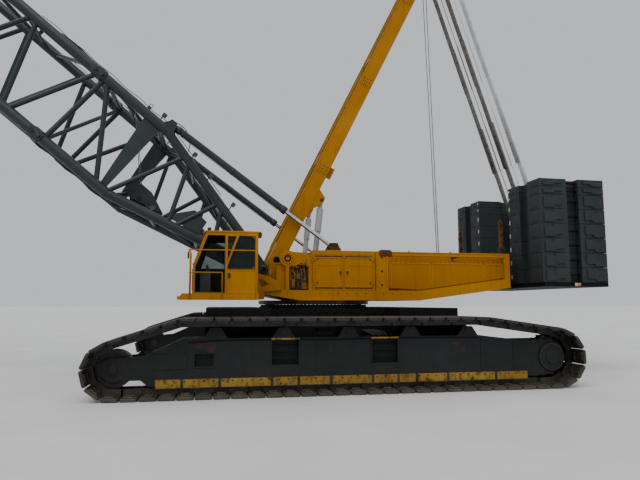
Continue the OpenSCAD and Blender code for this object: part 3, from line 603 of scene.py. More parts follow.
# ---------------------------------------------------------------- floor
fm = Mat("studio_floor")
fn_ = fm.noise(0.35, 5)
f2 = fm.noise(18, 5)
fc = fm.mix(fm.ramp(fn_, 0.3, 0.7), srgb(205, 205, 200), srgb(214, 214, 210))
fm.bump(f2, 0.08, 0.004)
fm.done(fc, fm.ramp(f2, 0.3, 0.7, 0.75, 0.9))
me = bpy.data.meshes.new("floor")
R = 420.0
me.from_pydata([(-R, -R, 0), (R, -R, 0), (R, R, 0), (-R, R, 0)], [], [(0, 1, 2, 3)])
floor = bpy.data.objects.new("floor", me)
me.materials.append(fm.m)
floor.location.z = -0.002
bpy.context.scene.collection.objects.link(floor)

# ---------------------------------------------------------------- tracks
TG = 4.2
IX, IR = 5.12, 0.62
SX, SR = -5.12, 0.72
RUN, X0, X1 = 1.7, -3.33, 3.75


def loop_pts(d):
    def arc(cx, cz, r, a0, a1, n):
        return [Vector((cx + r * math.cos(math.radians(a0 + (a1 - a0) * i / n)), 0, cz + r * math.sin(math.radians(a0 + (a1 - a0) * i / n)))) for i in range(n + 1)]
    return arc(IX, IR, IR - d, -90, 72.6, 28) + [Vector((X1 - d * 0.16, 0, RUN - d)), Vector((X0 + d * 0.08, 0, RUN - d))] + arc(SX, SR, SR - d, 98.8, 270, 28)


def along(pts, s):
    n = len(pts)
    for i in range(n):
        a, b = pts[i], pts[(i + 1) % n]
        L = (b - a).length
        if s < L or i == n - 1:
            t = (b - a) / L
            return a + t * s, t
        s -= L


def build_track(side, node):
    pts = loop_pts(0.045)
    total = sum((pts[(i + 1) % len(pts)] - pts[i]).length for i in range(len(pts)))
    n = round(total / 0.379)
    pitch = total / n
    sh = MB(); links = MB()
    for k in range(n):
        # each shoe lies on a chord of the loop, so its corners never stand outside it
        c0, c1 = along(pts, (total * k / n - 0.172) % total)[0], along(pts, (total * k / n + 0.172) % total)[0]
        c, t = (c0 + c1) / 2, (c1 - c0).normalized()
        out = Vector((t.z, 0, -t.x))           # outward, away from the loop
        jit = rnd.uniform(-0.006, 0.006)

        def P(a, y, h, c=c, t=t, out=out):
            q = c + t * a + out * h
            return (q.x, side * TG + y, q.z)
        # plate with cut corners, seen from the outside of the loop
        w = 0.745
        outline = [(-0.172, -w + 0.04), (-0.14, -w), (0.14, -w), (0.172, -w + 0.04), (0.172, w - 0.04), (0.14, w), (-0.14, w), (-0.172, w - 0.04)]
        vs = [P(a, y, -0.030) for a, y in outline] + [P(a, y, 0.043) for a, y in outline]
        m = len(outline)
        sh.add(vs, [tuple(range(m - 1, -1, -1)), tuple(range(m, 2 * m))] + [(i, (i + 1) % m, (i + 1) % m + m, i + m) for i in range(m)])
        # end lugs on the inside and the raised rib
        for y0, y1 in ((-w + 0.02, -w + 0.17), (w - 0.17, w - 0.02), (-0.44, -0.36), (0.36, 0.44)):
            vs = [P(a, y, h) for h, e in ((-0.03, 0.11), (-0.062 + jit, 0.08)) for a, y in ((-e, y0), (e, y0), (e, y1), (-e, y1))]
            sh.add(vs, [(0, 1, 2, 3), (7, 6, 5, 4), (4, 5, 1, 0), (5, 6, 2, 1), (6, 7, 3, 2), (7, 4, 0, 3)])
        # chain links and their pin
        off = 0.0 if k % 2 else 0.055
        for y in (-0.235 + off, 0.18 + off):
            vs = [P(a, yy, h) for h, e in ((-0.03, 0.215), (-0.158, 0.20)) for a, yy in ((-e, y), (e, y), (e, y + 0.05), (-e, y + 0.05))]
            links.add(vs, [(0, 1, 2, 3), (7, 6, 5, 4), (4, 5, 1, 0), (5, 6, 2, 1), (6, 7, 3, 2), (7, 4, 0, 3)])
        links.cyl(P(-0.19, -0.27, -0.095), P(-0.19, 0.27, -0.095), 0.026, n=10)
    nm = "left" if side > 0 else "right"
    o = sh.make("track_shoes_" + nm, shoe, "base", bevel=0.010, segments=2, slot="track_steel")
    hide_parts(node)
    links.make("track_chain_" + nm, shoe, "base", slot="track_steel")


build_track(1, "track_left")
build_track(-1, "track_right")


def mirror_y(f):
    f(1); f(-1)


def frame_trim(s):
    y = s * 4.55
    t = MB(); dk = MB(); yb = MB()
    e = s * 0.001
    # flanged seams with their bolts
    for x in (0.72, -3.3, -4.15):
        t.box(x - 0.035, x + 0.035, y - s * 0.01, y + s * 0.016, 0.46, 1.2 if x > -4 else 1.08)
        for i in range(8):
            t.bolt((x, y + s * 0.016, 0.5 + i * 0.09), (0, s, 0), 0.014, 0.012)
    # step recesses: treads, side posts and the worn top bar
    for x0, x1 in ((1.16, 1.76), (-1.17, -0.56)):
        for k, z in enumerate((0.74, 0.90, 1.06)):
            dk.box(x0 + 0.015, x1 - 0.015, s * 4.44, s * 4.535, z, z + 0.022)
            for i in range(7):
                dk.cyl((x0 + 0.05 + i * 0.082, s * 4.49, z + 0.022), (x0 + 0.05 + i * 0.082, s * 4.49, z + 0.034), 0.012, n=8)
        yb.box(x0 - 0.02, x1 + 0.02, y - s * 0.02, y + s * 0.028, 1.205, 1.245)
        t.box(x0 - 0.03, x0 - 0.005, y - s * 0.01, y + s * 0.022, 0.64, 1.21)
        t.box(x1 + 0.005, x1 + 0.03, y - s * 0.01, y + s * 0.022, 0.64, 1.21)
    # front opening rim
    for a in ((3.02, 3.04, 0.64, 0.93), (3.45, 3.47, 0.64, 0.93)):
        t.box(a[0], a[1], y - s * 0.01, y + s * 0.02, a[2], a[3])
    t.box(3.02, 3.47, y - s * 0.01, y + s * 0.02, 0.625, 0.645)
    t.box(3.02, 3.47, y - s * 0.01, y + s * 0.02, 0.925, 0.945)
    # hub covers with bolt circles
    for cx, cz, r, n in ((SX, SR, 0.30, 16), (IX, IR, 0.155, 8)):
        yy = s * (4.60 if cx < 0 else 4.55)
        t.lathe((cx, yy, cz), (0, s, 0), [(-0.02, r), (0.008, r), (0.014, r * 0.93), (0.014, r * 0.62), (0.04, r * 0.58), (0.046, r * 0.5), (0.046, 0.001)], 32)
        for i in range(n):
            a = 2 * math.pi * i / n
            t.bolt((cx + r * 0.8 * math.cos(a), yy + s * 0.014, cz + r * 0.8 * math.sin(a)), (0, s, 0), 0.015, 0.014)
    # carrier roller brackets: end caps
    for x in (-2.95, -1.5, 0.0, 1.5, 3.0):
        t.lathe((x, y, 1.39), (0, s, 0), [(-0.01, 0.075), (0.012, 0.075), (0.02, 0.06), (0.02, 0.001)], 20)
        for i in range(4):
            a = math.pi / 4 + math.pi / 2 * i
            t.bolt((x + 0.05 * math.cos(a), y + s * 0.014, 1.39 + 0.05 * math.sin(a)), (0, s, 0), 0.009, 0.012)
    # grease hoses and a pipe along the upper edge
    dk.tube(smooth_path([(-3.2, y + s * 0.014, 1.2), (-2.0, y + s * 0.016, 1.215), (0.5, y + s * 0.014, 1.2), (2.6, y + s * 0.014, 1.21), (3.6, y + s * 0.014, 1.16)], 8), 0.012, 8)
    # tension cylinder cover near the idler
    t.prism([(3.62, 0.60), (4.32, 0.60), (4.36, 0.66), (4.36, 0.86), (4.30, 0.92), (3.66, 0.92), (3.6, 0.86)], min(y, y + s * 0.022), max(y, y + s * 0.022))
    for x in (3.68, 3.98, 4.28):
        for z in (0.64, 0.88):
            t.bolt((x, y + s * 0.022, z), (0, s, 0), 0.013, 0.012)
    nm = "left" if s > 0 else "right"
    t.make("frame_trim_" + nm, frame_grey, "base", bevel=0.004, slot="dark_grey_paint")
    dk.make("frame_steps_" + nm, black_grey, "base", bevel=0.002, segments=1, slot="dark_grey_paint")
    yb.make("frame_bars_" + nm, yellow_worn, "base", bevel=0.006, slot="yellow_paint")
    # guard strip: dividers, bolts, lower rim
    g = MB()
    gy = s * 4.592
    g.box(-4.45, 4.25, gy - s * 0.02, gy + s * 0.006, 0.19, 0.212)
    for x in (-3.62, -2.4, -1.62, -1.17, -0.56, 0.42, 1.16, 1.76, 2.9, 3.7):
        g.box(x - 0.028, x + 0.028, gy - s * 0.02, gy + s * 0.008, 0.205, 0.39)
    for i in range(42):
        x = -4.35 + i * 0.205
        g.bolt((x, gy, 0.345), (0, s, 0), 0.014, 0.012)
    g.make("guard_trim_" + nm, dark_steel, "base", bevel=0.003, segments=1, slot="track_steel")


mirror_y(frame_trim)


def roller_trim():
    t = MB()
    for s in (1, -1):
        for i in range(14):
            x = -4.1 + i * 0.63
            for y in (-0.335, 0.30):
                t.lathe((x, s * TG + y, 0.35), (0, 1, 0), [(0, 0.075), (0.035, 0.075)], 16)
    t.make("roller_ends", dark_steel, "base", slot="dark_grey_paint")


# ---------------------------------------------------------------- carbody
def carbody_trim():
    t = MB(); h = MB()
    for s in (1, -1):
        # ladder rungs between the arms
        for k in range(4):
            t.cyl((-0.35, s * 2.16, 0.86 + k * 0.17), (0.35, s * 2.16, 0.86 + k * 0.17), 0.016, n=10)
        for x in (-0.36, 0.36):
            t.box(x - 0.012, x + 0.012, s * 2.10, s * 2.18, 0.8, 1.45)
        # flange bolts round the carbody sides
        for k in range(15):
            x = -1.6 + k * 0.228
            t.bolt((x, s * 2.10, 1.78), (0, s, 0), 0.022, 0.02)
        # hydraulic hoses to the track drives
        for k in range(4):
            x0 = -1.25 + 0.09 * k
            h.tube(smooth_path([(x0, s * 2.1, 1.3), (x0 - 0.3, s * 2.35, 1.22 - 0.02 * k), (-1.62, s * 2.8, 0.98), (-1.60 + 0.01 * k, s * 3.35, 0.96), (-1.64, s * 3.8, 1.0)], 8), 0.02, 8)
    t.make("carbody_trim", black_grey, "base", bevel=0.003, segments=1, slot="dark_grey_paint")
    h.make("carbody_hoses", rubber, "base", slot="console_plastic")


carbody_trim()
soften(["carbody", "track_frame_left", "track_frame_right"], 0.012)
soften(["chain_guards"], 0.006)

# slew ring bolts
t = MB()
for i in range(72):
    a = 2 * math.pi * i / 72
    t.bolt((1.47 * math.cos(a), 1.47 * math.sin(a), 1.98 - 0.0), (0, 0, 1), 0.02, 0.009)
t.make("slew_bolts", dark_steel, "base", slot="machined_steel")

# ---------------------------------------------------------------- platform
soften(["upper_frame", "side_panels", "machinery_house", "house_door_front", "house_door_rear", "cab_platform", "counterweight_tray"], 0.008)


def platform_trim():
    t = MB(); d = MB(); sc = MB(); br = MB()
    for s in (1, -1):
        y = s * 1.58

        def zl(x):
            return 2.51 if x > -2.9 else 2.47 + (abs(x) - 2.9) * 0.136
        # side panel: pressed frames, seams, bolts, slots along the top
        for x0, x1 in ((-5.55, -4.98), (-4.94, -3.30), (-3.26, -2.02)):
            for xa, xb in ((x0, x0 + 0.03), (x1 - 0.03, x1)):
                t.box(xa, xb, y - s * 0.004, y + s * 0.010, max(zl(xa), zl(xb)) + 0.02, 3.2)
            t.box(x0, x1, y - s * 0.004, y + s * 0.010, 3.18, 3.21)
        for k in range(24):
            d.bolt((-5.58 + k * 0.155, y + s * 0.001, 3.225), (0, s, 0), 0.010, 0.008)
        # rail: flange strips and lifting eyes
        t.box(-5.7, -1.6, y - s * 0.004, y + s * 0.012, 3.49, 3.52)
        t.box(-5.7, -1.6, y - s * 0.004, y + s * 0.012, 3.405, 3.43)
        for x in (-5.3, -3.9, -2.6):
            d.lathe((x, y - s * 0.02, 3.53), (0, 0, 1), [(0, 0.03), (0.012, 0.03), (0.012, 0.012), (0.04, 0.012)], 12)
        # post pair behind the house with its pins
        for x in (-1.93, -1.62):
            t.box(x, x + 0.045, y - s * 0.004, y + s * 0.014, 2.5, 3.39)
        for z in (2.55, 2.95, 3.35):
            d.bolt((-1.75, y, z), (0, s, 0), 0.024, 0.02)
        # painted shade: a solid rust-brown block fills the dark opening behind the rail
        br.prism([(-2.08, 3.38), (-1.70, 3.38), (-1.66, 3.44), (-1.68, 3.56), (-1.74, 3.58), (-2.0, 3.58), (-2.06, 3.54)], s * 1.46 if s > 0 else s * 1.6, s * 1.6 if s > 0 else s * 1.46)
        # deck edge: lower flange and weld line
        for k in range(12):
            d.bolt((-2.6 + k * 0.27, y + s * 0.0, 2.30), (0, s, 0), 0.012, 0.01)
        t.box(-2.88, 0.6, y - s * 0.004, y + s * 0.012, 2.105, 2.135)
        # rear posts: caps, straps and black blocks
        x, yy = -5.65, s * 1.43
        d.box(-5.745, -5.555, yy - 0.095, yy + 0.095, 3.535, 3.70)
        for z in (3.9, 4.3):
            t.box(-5.71, -5.59, yy - 0.06, yy + 0.06, z, z + 0.05)
        t.lathe((x, yy, 4.55), (0, 0, 1), [(-0.01, 0.05), (0.02, 0.05), (0.03, 0.03), (0.03, 0.001)], 16)
        for k in range(6):
            t.cyl((-5.70, yy - 0.05, 3.8 + 0.12 * k), (-5.78, yy - 0.05, 3.8 + 0.12 * k), 0.009, n=8)
    # walkway grating on the house roof and a low kick strip
    for k in range(26):
        d.box(-1.45 + k * 0.03 - 0.004, -1.45 + k * 0.03 + 0.004, -0.7, 0.7, 3.531, 3.549)
    for yy in (-0.7, -0.35, 0.0, 0.35, 0.7):
        d.box(-1.47, -0.68, yy - 0.006, yy + 0.006, 3.531, 3.552)
    # exhaust and air cleaner on the roof, right of the middle
    d.lathe((-1.1, -1.15, 3.53), (0, 0, 1), [(0, 0.11), (0.02, 0.11), (0.03, 0.085), (0.26, 0.085), (0.30, 0.06), (0.35, 0.06), (0.35, 0.045), (0.24, 0.045)], 24)
    d.lathe((-1.42, -0.86, 3.62), (1, 0, 0), [(0, 0.085), (0.02, 0.095), (0.55, 0.095), (0.57, 0.085), (0.57, 0.001)], 24)
    for x in (-1.32, -0.98):
        t.box(x, x + 0.04, -0.94, -0.78, 3.53, 3.60)
    # radiator slats in the right intake
    for k in range(16):
        z = 2.63 + k * 0.042
        sc.add([(-1.29, -1.575, z), (0.09, -1.575, z), (0.09, -1.54, z + 0.03), (-1.29, -1.54, z + 0.03), (-1.29, -1.578, z + 0.006), (0.09, -1.578, z + 0.006), (0.09, -1.543, z + 0.036), (-1.29, -1.543, z + 0.036)],
               [(0, 1, 2, 3), (7, 6, 5, 4), (0, 4, 5, 1), (1, 5, 6, 2), (2, 6, 7, 3), (3, 7, 4, 0)])
    t.make("platform_trim", yellow, "platform", bevel=0.003, segments=1, slot="yellow_paint")
    d.make("platform_fittings", dark_steel, "platform", bevel=0.002, segments=1, slot="dark_grey_paint")
    sc.make("radiator_slats", grey, "platform", slot="dark_grey_paint")
    # painted shade in rust brown for the dark opening behind the rail
    br.make("shaded_opening_block", brown, "platform", bevel=0.02, slot="yellow_paint")


platform_trim()


def door_trim(x0, x1, hinge, body, name):
    """Pressed panel, slots, handle and stay bolts of a house door."""
    t = MB(); d = MB()
    y = 1.58
    for xa, xb, za, zb in ((x0 + 0.03, x1 - 0.03, 3.30, 3.325), (x0 + 0.03, x1 - 0.03, 2.47, 2.495), (x0 + 0.03, x0 + 0.055, 2.47, 3.325), (x1 - 0.055, x1 - 0.03, 2.47, 3.325)):
        t.box(xa, xb, y - 0.004, y + 0.010, za, zb)
    t.box(x0 + 0.08, x1 - 0.08, y - 0.004, y + 0.007, 3.095, 3.115)
    # louvres along the top and the foot
    for z in (3.345, 2.44):
        d.box(x0 + 0.03, x1 - 0.03, y - 0.002, y + 0.003, z, z + 0.035)
    hx = x0 + 0.10 if hinge > x0 + 0.4 else x1 - 0.10
    d.lathe((hx, y, 2.92), (0, 1, 0), [(0, 0.032), (0.006, 0.032), (0.01, 0.02), (0.03, 0.02), (0.03, 0.001)], 16)
    d.box(hx - 0.012, hx + 0.012, y + 0.02, y + 0.036, 2.84, 2.94)
    for z in (2.56, 3.24):
        d.box(min(hinge, hinge - 0.12 * (1 if hinge > x0 + 0.4 else -1)), max(hinge, hinge - 0.12 * (1 if hinge > x0 + 0.4 else -1)), y, y + 0.008, z + 0.02, z + 0.07)
    t.make(name + "_trim", yellow, body, bevel=0.003, segments=1, slot="yellow_paint")
    d.make(name + "_fittings", dark_steel, body, bevel=0.002, segments=1, slot="dark_grey_paint")


door_trim(-0.605, 0.265, 0.265, "front_house_door", "front_door")
door_trim(-1.495, -0.615, -1.495, "rear_house_door", "rear_door")


def machinery_bay():
    """Hoses, pipes and valves in the open bays between the mast foot and the house."""
    h = MB(); p = MB(); v = MB(); o2 = MB()
    for s in (1, -1):
        for k in range(9):
            x = 0.44 + 0.062 * k
            y = s * (1.36 + 0.03 * (k % 4))
            z1 = 2.95 + 0.03 * (k % 3)
            h.tube(smooth_path([(x, y, 2.40), (x + rnd.uniform(-.05, .05), y + s * 0.02, 2.6), (x + rnd.uniform(-.08, .08), y + s * 0.03, 2.82), (x + rnd.uniform(-.04, .04), y - s * 0.02, z1), (x - 0.1, y - s * 0.10, z1 + 0.05), (x - 0.2, y - s * 0.16, z1 - 0.12)], 6), 0.018 + 0.004 * (k % 3), 8)
        for k in range(5):
            x = 0.50 + 0.105 * k
            p.tube(smooth_path([(x, s * 1.47, 2.40), (x, s * 1.475, 2.75), (x + 0.03, s * 1.46, 3.0), (x + 0.02, s * 1.3, 3.08)], 5), 0.014, 8)
            p.cyl((x, s * 1.475, 2.66), (x, s * 1.475, 2.72), 0.024, n=6)
        for k in range(6):
            o2.tube(smooth_path([(0.36, s * (1.30 + 0.03 * k), 3.02 - 0.03 * k), (0.56, s * (1.36 + 0.02 * k), 2.9 - 0.05 * k), (0.8, s * (1.40 + 0.012 * k), 2.96 - 0.06 * k), (1.03, s * 1.38, 2.8 - 0.04 * k), (1.05, s * 1.34, 2.6)], 6), 0.014, 7)
        v.box(0.47, 0.60, s * 1.46 if s > 0 else s * 1.545, s * 1.545 if s > 0 else s * 1.46, 2.42, 2.60)
        v.box(0.66, 0.76, s * 1.46 if s > 0 else s * 1.54, s * 1.54 if s > 0 else s * 1.46, 2.70, 2.86)
        v.lathe((0.86, s * 1.51, 2.46), (0, 0, 1), [(0, 0.05), (0.18, 0.05), (0.2, 0.035), (0.24, 0.035)], 16)
        for z in (2.46, 2.53):
            v.cyl((0.46, s * 1.53, z), (0.40, s * 1.53, z), 0.016, n=10)
        # front bay, between the arm post and the boom foot
        for k in range(4):
            h.tube(smooth_path([(1.36 + 0.035 * k, s * 1.40, 2.40), (1.40 + 0.03 * k, s * 1.42, 2.62 + 0.05 * k), (1.46, s * 1.42, 2.74 + 0.03 * k), (1.54, s * 1.40, 2.66), (1.60, s * 1.40, 2.44)], 6), 0.016, 8)
        v.lathe((1.39, s * 1.50, 2.39), (0, 0, 1), [(0, 0.045), (0.26, 0.045), (0.29, 0.03), (0.32, 0.03)], 16)
        v.cyl((0.70, s * 1.505, 3.02), (0.84, s * 1.505, 3.06), 0.035, n=16)
        v.box(0.60, 0.78, *sorted((s * 1.45, s * 1.53)), 3.13, 3.22)
        # upright pale post beside the boom pin
        p.cyl((1.50, s * 1.49, 2.36), (1.50, s * 1.49, 2.98), 0.016, n=12)
    h.make("bay_hoses", orange_hose, "platform", slot="console_plastic")
    p.make("bay_pipes", copper, "platform", slot="machined_steel")
    o2.make("bay_wiring", ochre, "platform", slot="console_plastic")
    v.make("bay_valves", ochre, "platform", bevel=0.006, slot="dark_grey_paint")


machinery_bay()


def pin_caps():
    t = MB(); w = MB()
    for s in (1, -1):
        # mast pin, boom pin and bearing arm
        t.lathe((1.3, s * 1.19, 3.27), (0, s, 0), [(-0.01, 0.095), (0.012, 0.095), (0.02, 0.08), (0.02, 0.001)], 24)
        t.lathe((1.02, s * 1.566, 3.285), (0, s, 0), [(-0.01, 0.10), (0.010, 0.10), (0.014, 0.06), (0.004, 0.055), (0.004, 0.001)], 24)
        w.lathe((1.02, s * 1.566, 3.285), (0, s, 0), [(-0.012, 0.175), (0.006, 0.175), (0.010, 0.165), (0.010, 0.115), (0.006, 0.11), (0.006, 0.105)], 36)
        for i in range(10):
            a = 2 * math.pi * i / 10
            t.bolt((1.02 + 0.14 * math.cos(a), s * 1.576, 3.285 + 0.14 * math.sin(a)), (0, s, 0), 0.010, 0.008)
        t.lathe((1.680, s * 1.375, 2.98), (0, s, 0), [(-0.01, 0.075), (0.01, 0.075), (0.016, 0.06), (0.016, 0.001)], 24)
    t.make("pin_caps", black_grey, "platform", slot="machined_steel")
    w.make("arm_ring", yellow, "platform", slot="yellow_paint")


pin_caps()


# ropes from the drums to the mast head, taut, and wound turns on each drum
def drum_turns(x, body, name, turns=30, r=0.345, span=0.70):
    m = MB()
    n = turns * 22
    pts = []
    for i in range(n + 1):
        a = 2 * math.pi * i / 22
        y = -span + 2 * span * i / n
        pts.append((x + r * math.cos(a), y, 2.99 + r * math.sin(a)))
    m.tube(pts, 0.016, 6)
    for s in (-1, 1):
        for i in range(8):
            a = 2 * math.pi * i / 8
            m.bolt((x + 0.42 * math.cos(a), s * 0.76, 2.99 + 0.42 * math.sin(a)), (0, s, 0), 0.02, 0.016)
    m.make(name, rope, body, slot="rope_steel")


drum_turns(-2.35, "front_hoist_drum", "front_drum_rope")
drum_turns(-3.65, "rear_hoist_drum", "rear_drum_rope")
drum_turns(-4.95, "luffing_winch_drum", "luffing_drum_rope")

# taut pair of ropes that rises from the front drum
m = MB()
T0 = on_mast(ML, 0, 0)
m.cyl((-4.14, 0.155, 3.42), (-3.85, 0.155, 14.386), 0.014, n=8)
m.cyl((-4.22, -0.175, 3.42), (-3.87, -0.175, 14.386), 0.014, n=8)
# their guide roller on a cross shaft, and the short runs down to the drum
g = MB(); low = MB()
g.cyl((-4.20, -1.40, 3.42), (-4.20, 1.40, 3.42), 0.030, n=16)
for y in (0.155, -0.175):
    x = -4.14 if y > 0 else -4.22
    g.ring((-4.20, y - 0.05, 3.42), (0, 1, 0), [(0, 0.028), (0, 0.075), (0.02, 0.075), (0.035, 0.05), (0.065, 0.05), (0.08, 0.075), (0.10, 0.075), (0.10, 0.028)], 24)
    low.tube([(x, y, 3.43), (-4.125, y, 3.30), (-4.02, y, 3.05)], 0.014, 8)
g.make("rope_guide", dark_steel, "platform", slot="dark_grey_paint")
low.make("hoist_rope_lower_runs", rope, "platform", slot="rope_steel")


# ---------------------------------------------------------------- counterweights
soften(["counterweights_left", "counterweights_right"], 0.02, 2)


def stacks():
    pads = MB(); tags = MB(); lugs = MB(); lamp = MB(); lens = MB()
    z = 2.63
    hs = [0.43] * 6 + [0.235] * 2
    for s in (1, -1):
        z = 2.63
        for i, h in enumerate(hs):
            top = z + h - 0.012
            # raised pads along the outer face, and cast pockets on the ends
            yo = s * 2.74
            for xa, xb in ((-8.22, -7.62), (-6.92, -6.30)):
                y0, y1 = sorted((yo - s * 0.01, yo + s * 0.042))
                zc = 0.07 if h > 0.3 else 0.05
                mx = (xa + xb) / 2
                inner = xb if xa < -7.3 else xa
                outer = xa if xa < -7.3 else xb
                pads.prism([(outer, z + 0.03), (mx, z + 0.03), (mx + (inner - mx) * 0.25, z + zc + 0.03), (inner, z + zc + 0.03), (inner, top - 0.03), (mx, top - 0.03), (mx - (inner - mx) * 0.1, top - 0.09), (outer, top - 0.09)], y0, y1)
            y0, y1 = sorted((s * 1.12, s * 1.52))
            pads.box(-6.212, -6.19, y0, y1, z + 0.05, top - 0.05)
            y0, y1 = sorted((s * 2.2, s * 2.62))
            pads.box(-6.212, -6.19, y0, y1, z + 0.05, top - 0.05)
            # bare tags, inner front edge
            tags.box(-6.196, -6.186, *sorted((s * 1.03, s * 1.09)), z + h * 0.35, z + h * 0.65)
            # lifting eye recesses with a bar
            for x in (-7.265,):
                lugs.cyl((x - 0.19, s * 2.62, z + h * 0.5), (x + 0.19, s * 2.62, z + h * 0.5), 0.03, n=12)
            z += h
        # lifting lugs on the top slab
        for x in (-8.0, -6.5):
            for y in (1.25, 2.49):
                lugs.lathe((x, s * y, z - 0.012), (0, 0, 1), [(0, 0.11), (0.006, 0.11), (0.006, 0.07), (-0.0, 0.06)], 20)
        # tray edge lamp, amber over white
        y0, y1 = sorted((s * 2.74, s * 2.80))
        lamp.box(-7.36, -7.14, y0, y1, 2.505, 2.62)
        lens.box(-7.34, -7.25, *sorted((s * 2.795, s * 2.812)), 2.525, 2.60)
        tags.box(-7.24, -7.16, *sorted((s * 2.795, s * 2.808)), 2.525, 2.60)
    pads.make("slab_pads", slab, "platform", bevel=0.012, slot="dark_grey_paint")
    tags.make("slab_tags", white, "platform", bevel=0.002, segments=1, slot="silver_paint")
    lugs.make("slab_lugs", black_grey, "platform", slot="dark_grey_paint")
    lamp.make("tray_lamp_cases", dark_steel, "platform", bevel=0.006, slot="dark_grey_paint")
    lens.make("tray_lamp_lenses", amber, "platform", bevel=0.006, slot="console_plastic")


stacks()


# ---------------------------------------------------------------- cab
soften(["cab", "cab_door"], 0.012)


def cab_trim():
    y = MB(); d = MB(); g = MB(); s_ = MB()
    yo = 2.75
    # roof: gutter and a curved lip
    y.prism([(1.93, 3.835), (3.30, 3.835), (3.34, 3.80), (3.36, 3.84), (3.28, 3.875), (1.93, 3.875)], 1.63, 2.77)
    # rubber seals round the windows
    def seal(pts, closed=True, r=0.012):
        d.tube(pts, r, 6, closed=closed)
    seal([(2.80, yo - 0.010, 2.30), (3.53, yo - 0.010, 2.30), (3.53, yo - 0.010, 2.94), (3.235, yo - 0.010, 3.75), (2.80, yo - 0.010, 3.75)], r=0.014)
    ci, co = 1.76, 2.64
    fx = lambda z: 3.60 - (z - 2.95) * 0.3556
    seal([(3.605, ci, 2.33), (3.605, co, 2.33), (3.605, co, 2.88), (3.605, ci, 2.88)])
    seal([(fx(3.01) + 0.004, ci, 3.01), (fx(3.01) + 0.004, co, 3.01), (fx(3.77) + 0.004, co, 3.77), (fx(3.77) + 0.004, ci, 3.77)])
    seal([(1.948, 1.81, 3.0), (1.948, 2.59, 3.0), (1.948, 2.59, 3.65), (1.948, 1.81, 3.65)])
    seal([(2.15, 1.648, 2.95), (3.42, 1.648, 2.95), (3.18, 1.648, 3.68), (2.15, 1.648, 3.68)])
    # wiper
    d.cyl((fx(3.05) + 0.03, 2.2, 3.05), (fx(3.5) + 0.03, 2.32, 3.5), 0.008, n=8)
    d.box(fx(3.3) + 0.015, fx(3.3) + 0.03, 2.0, 2.62, 3.28, 3.30)
    d.cyl((fx(3.03) + 0.005, 2.2, 3.04), (fx(3.03) + 0.05, 2.2, 3.04), 0.022, n=12)
    # box at the rear edge of the roof
    d.prism([(1.86, 3.73), (1.95, 3.73), (1.95, 3.87), (1.88, 3.87), (1.85, 3.83)], 2.50, 2.70)
    # work lamps on the roof front
    for yy in (1.85, 2.2, 2.55):
        d.box(3.16, 3.25, yy - 0.06, yy + 0.06, 3.875, 3.97)
        g.box(3.25, 3.262, yy - 0.05, yy + 0.05, 3.885, 3.96)
    # rails round the cab: side rail, lower rail, posts on the platform edge
    for z, x0, x1 in ((3.36, 1.98, 3.66), (2.79, 2.86, 3.66)):
        y.tube(smooth_path([(x0, 2.885, z), (x1 - 0.1, 2.885, z), (x1, 2.86, z), (x1 + 0.02, 2.76, z)], 4), 0.016, 8)
    y.cyl((3.66, 2.875, 2.15), (3.66, 2.875, 3.38), 0.018, n=10)
    for x in (2.02, 2.86):
        y.cyl((x, 2.885, 2.15), (x, 2.885, 3.36 if x < 2.5 else 2.79), 0.012, n=10)
    for x in (2.02, 2.86, 3.66):
        y.box(x - 0.03, x + 0.03, 2.84, 2.90, 2.13, 2.16)
    for z in (3.36, 2.79):
        y.tube([(3.68, 2.72, z), (3.69, 2.2, z), (3.69, 1.75, z), (3.68, 1.68, z)], 0.018, 8)
    y.cyl((3.69, 1.68, 2.19), (3.69, 1.68, 3.38), 0.02, n=10)
    # platform edge: treads, brackets
    for k in range(18):
        s_.box(1.98 + k * 0.108, 2.04 + k * 0.108, 2.60, 2.80, 2.196, 2.204)
    for k in range(4):
        y.prism([(2.1 + k * 0.5, 2.12), (2.16 + k * 0.5, 2.12), (2.16 + k * 0.5, 2.19), (2.1 + k * 0.5, 2.19)], 2.85, 2.868)
    # mirror on the front post
    d.tube(smooth_path([(3.66, 2.83, 3.3), (3.70, 2.85, 3.32), (3.72, 2.86, 3.28)], 4), 0.010, 7)
    d.prism([(3.69, 3.14), (3.73, 3.14), (3.73, 3.29), (3.69, 3.29)], 2.76, 2.89)
    y.make("cab_rails_and_trim", yellow, "platform", bevel=0.004, segments=1, slot="yellow_paint")
    d.make("cab_seals_and_fittings", rubber, "platform", slot="console_plastic")
    g.make("cab_lamps", clear, "platform", bevel=0.004, slot="cab_glass")
    s_.make("cab_treads", dark_steel, "platform", slot="dark_grey_paint")


cab_trim()


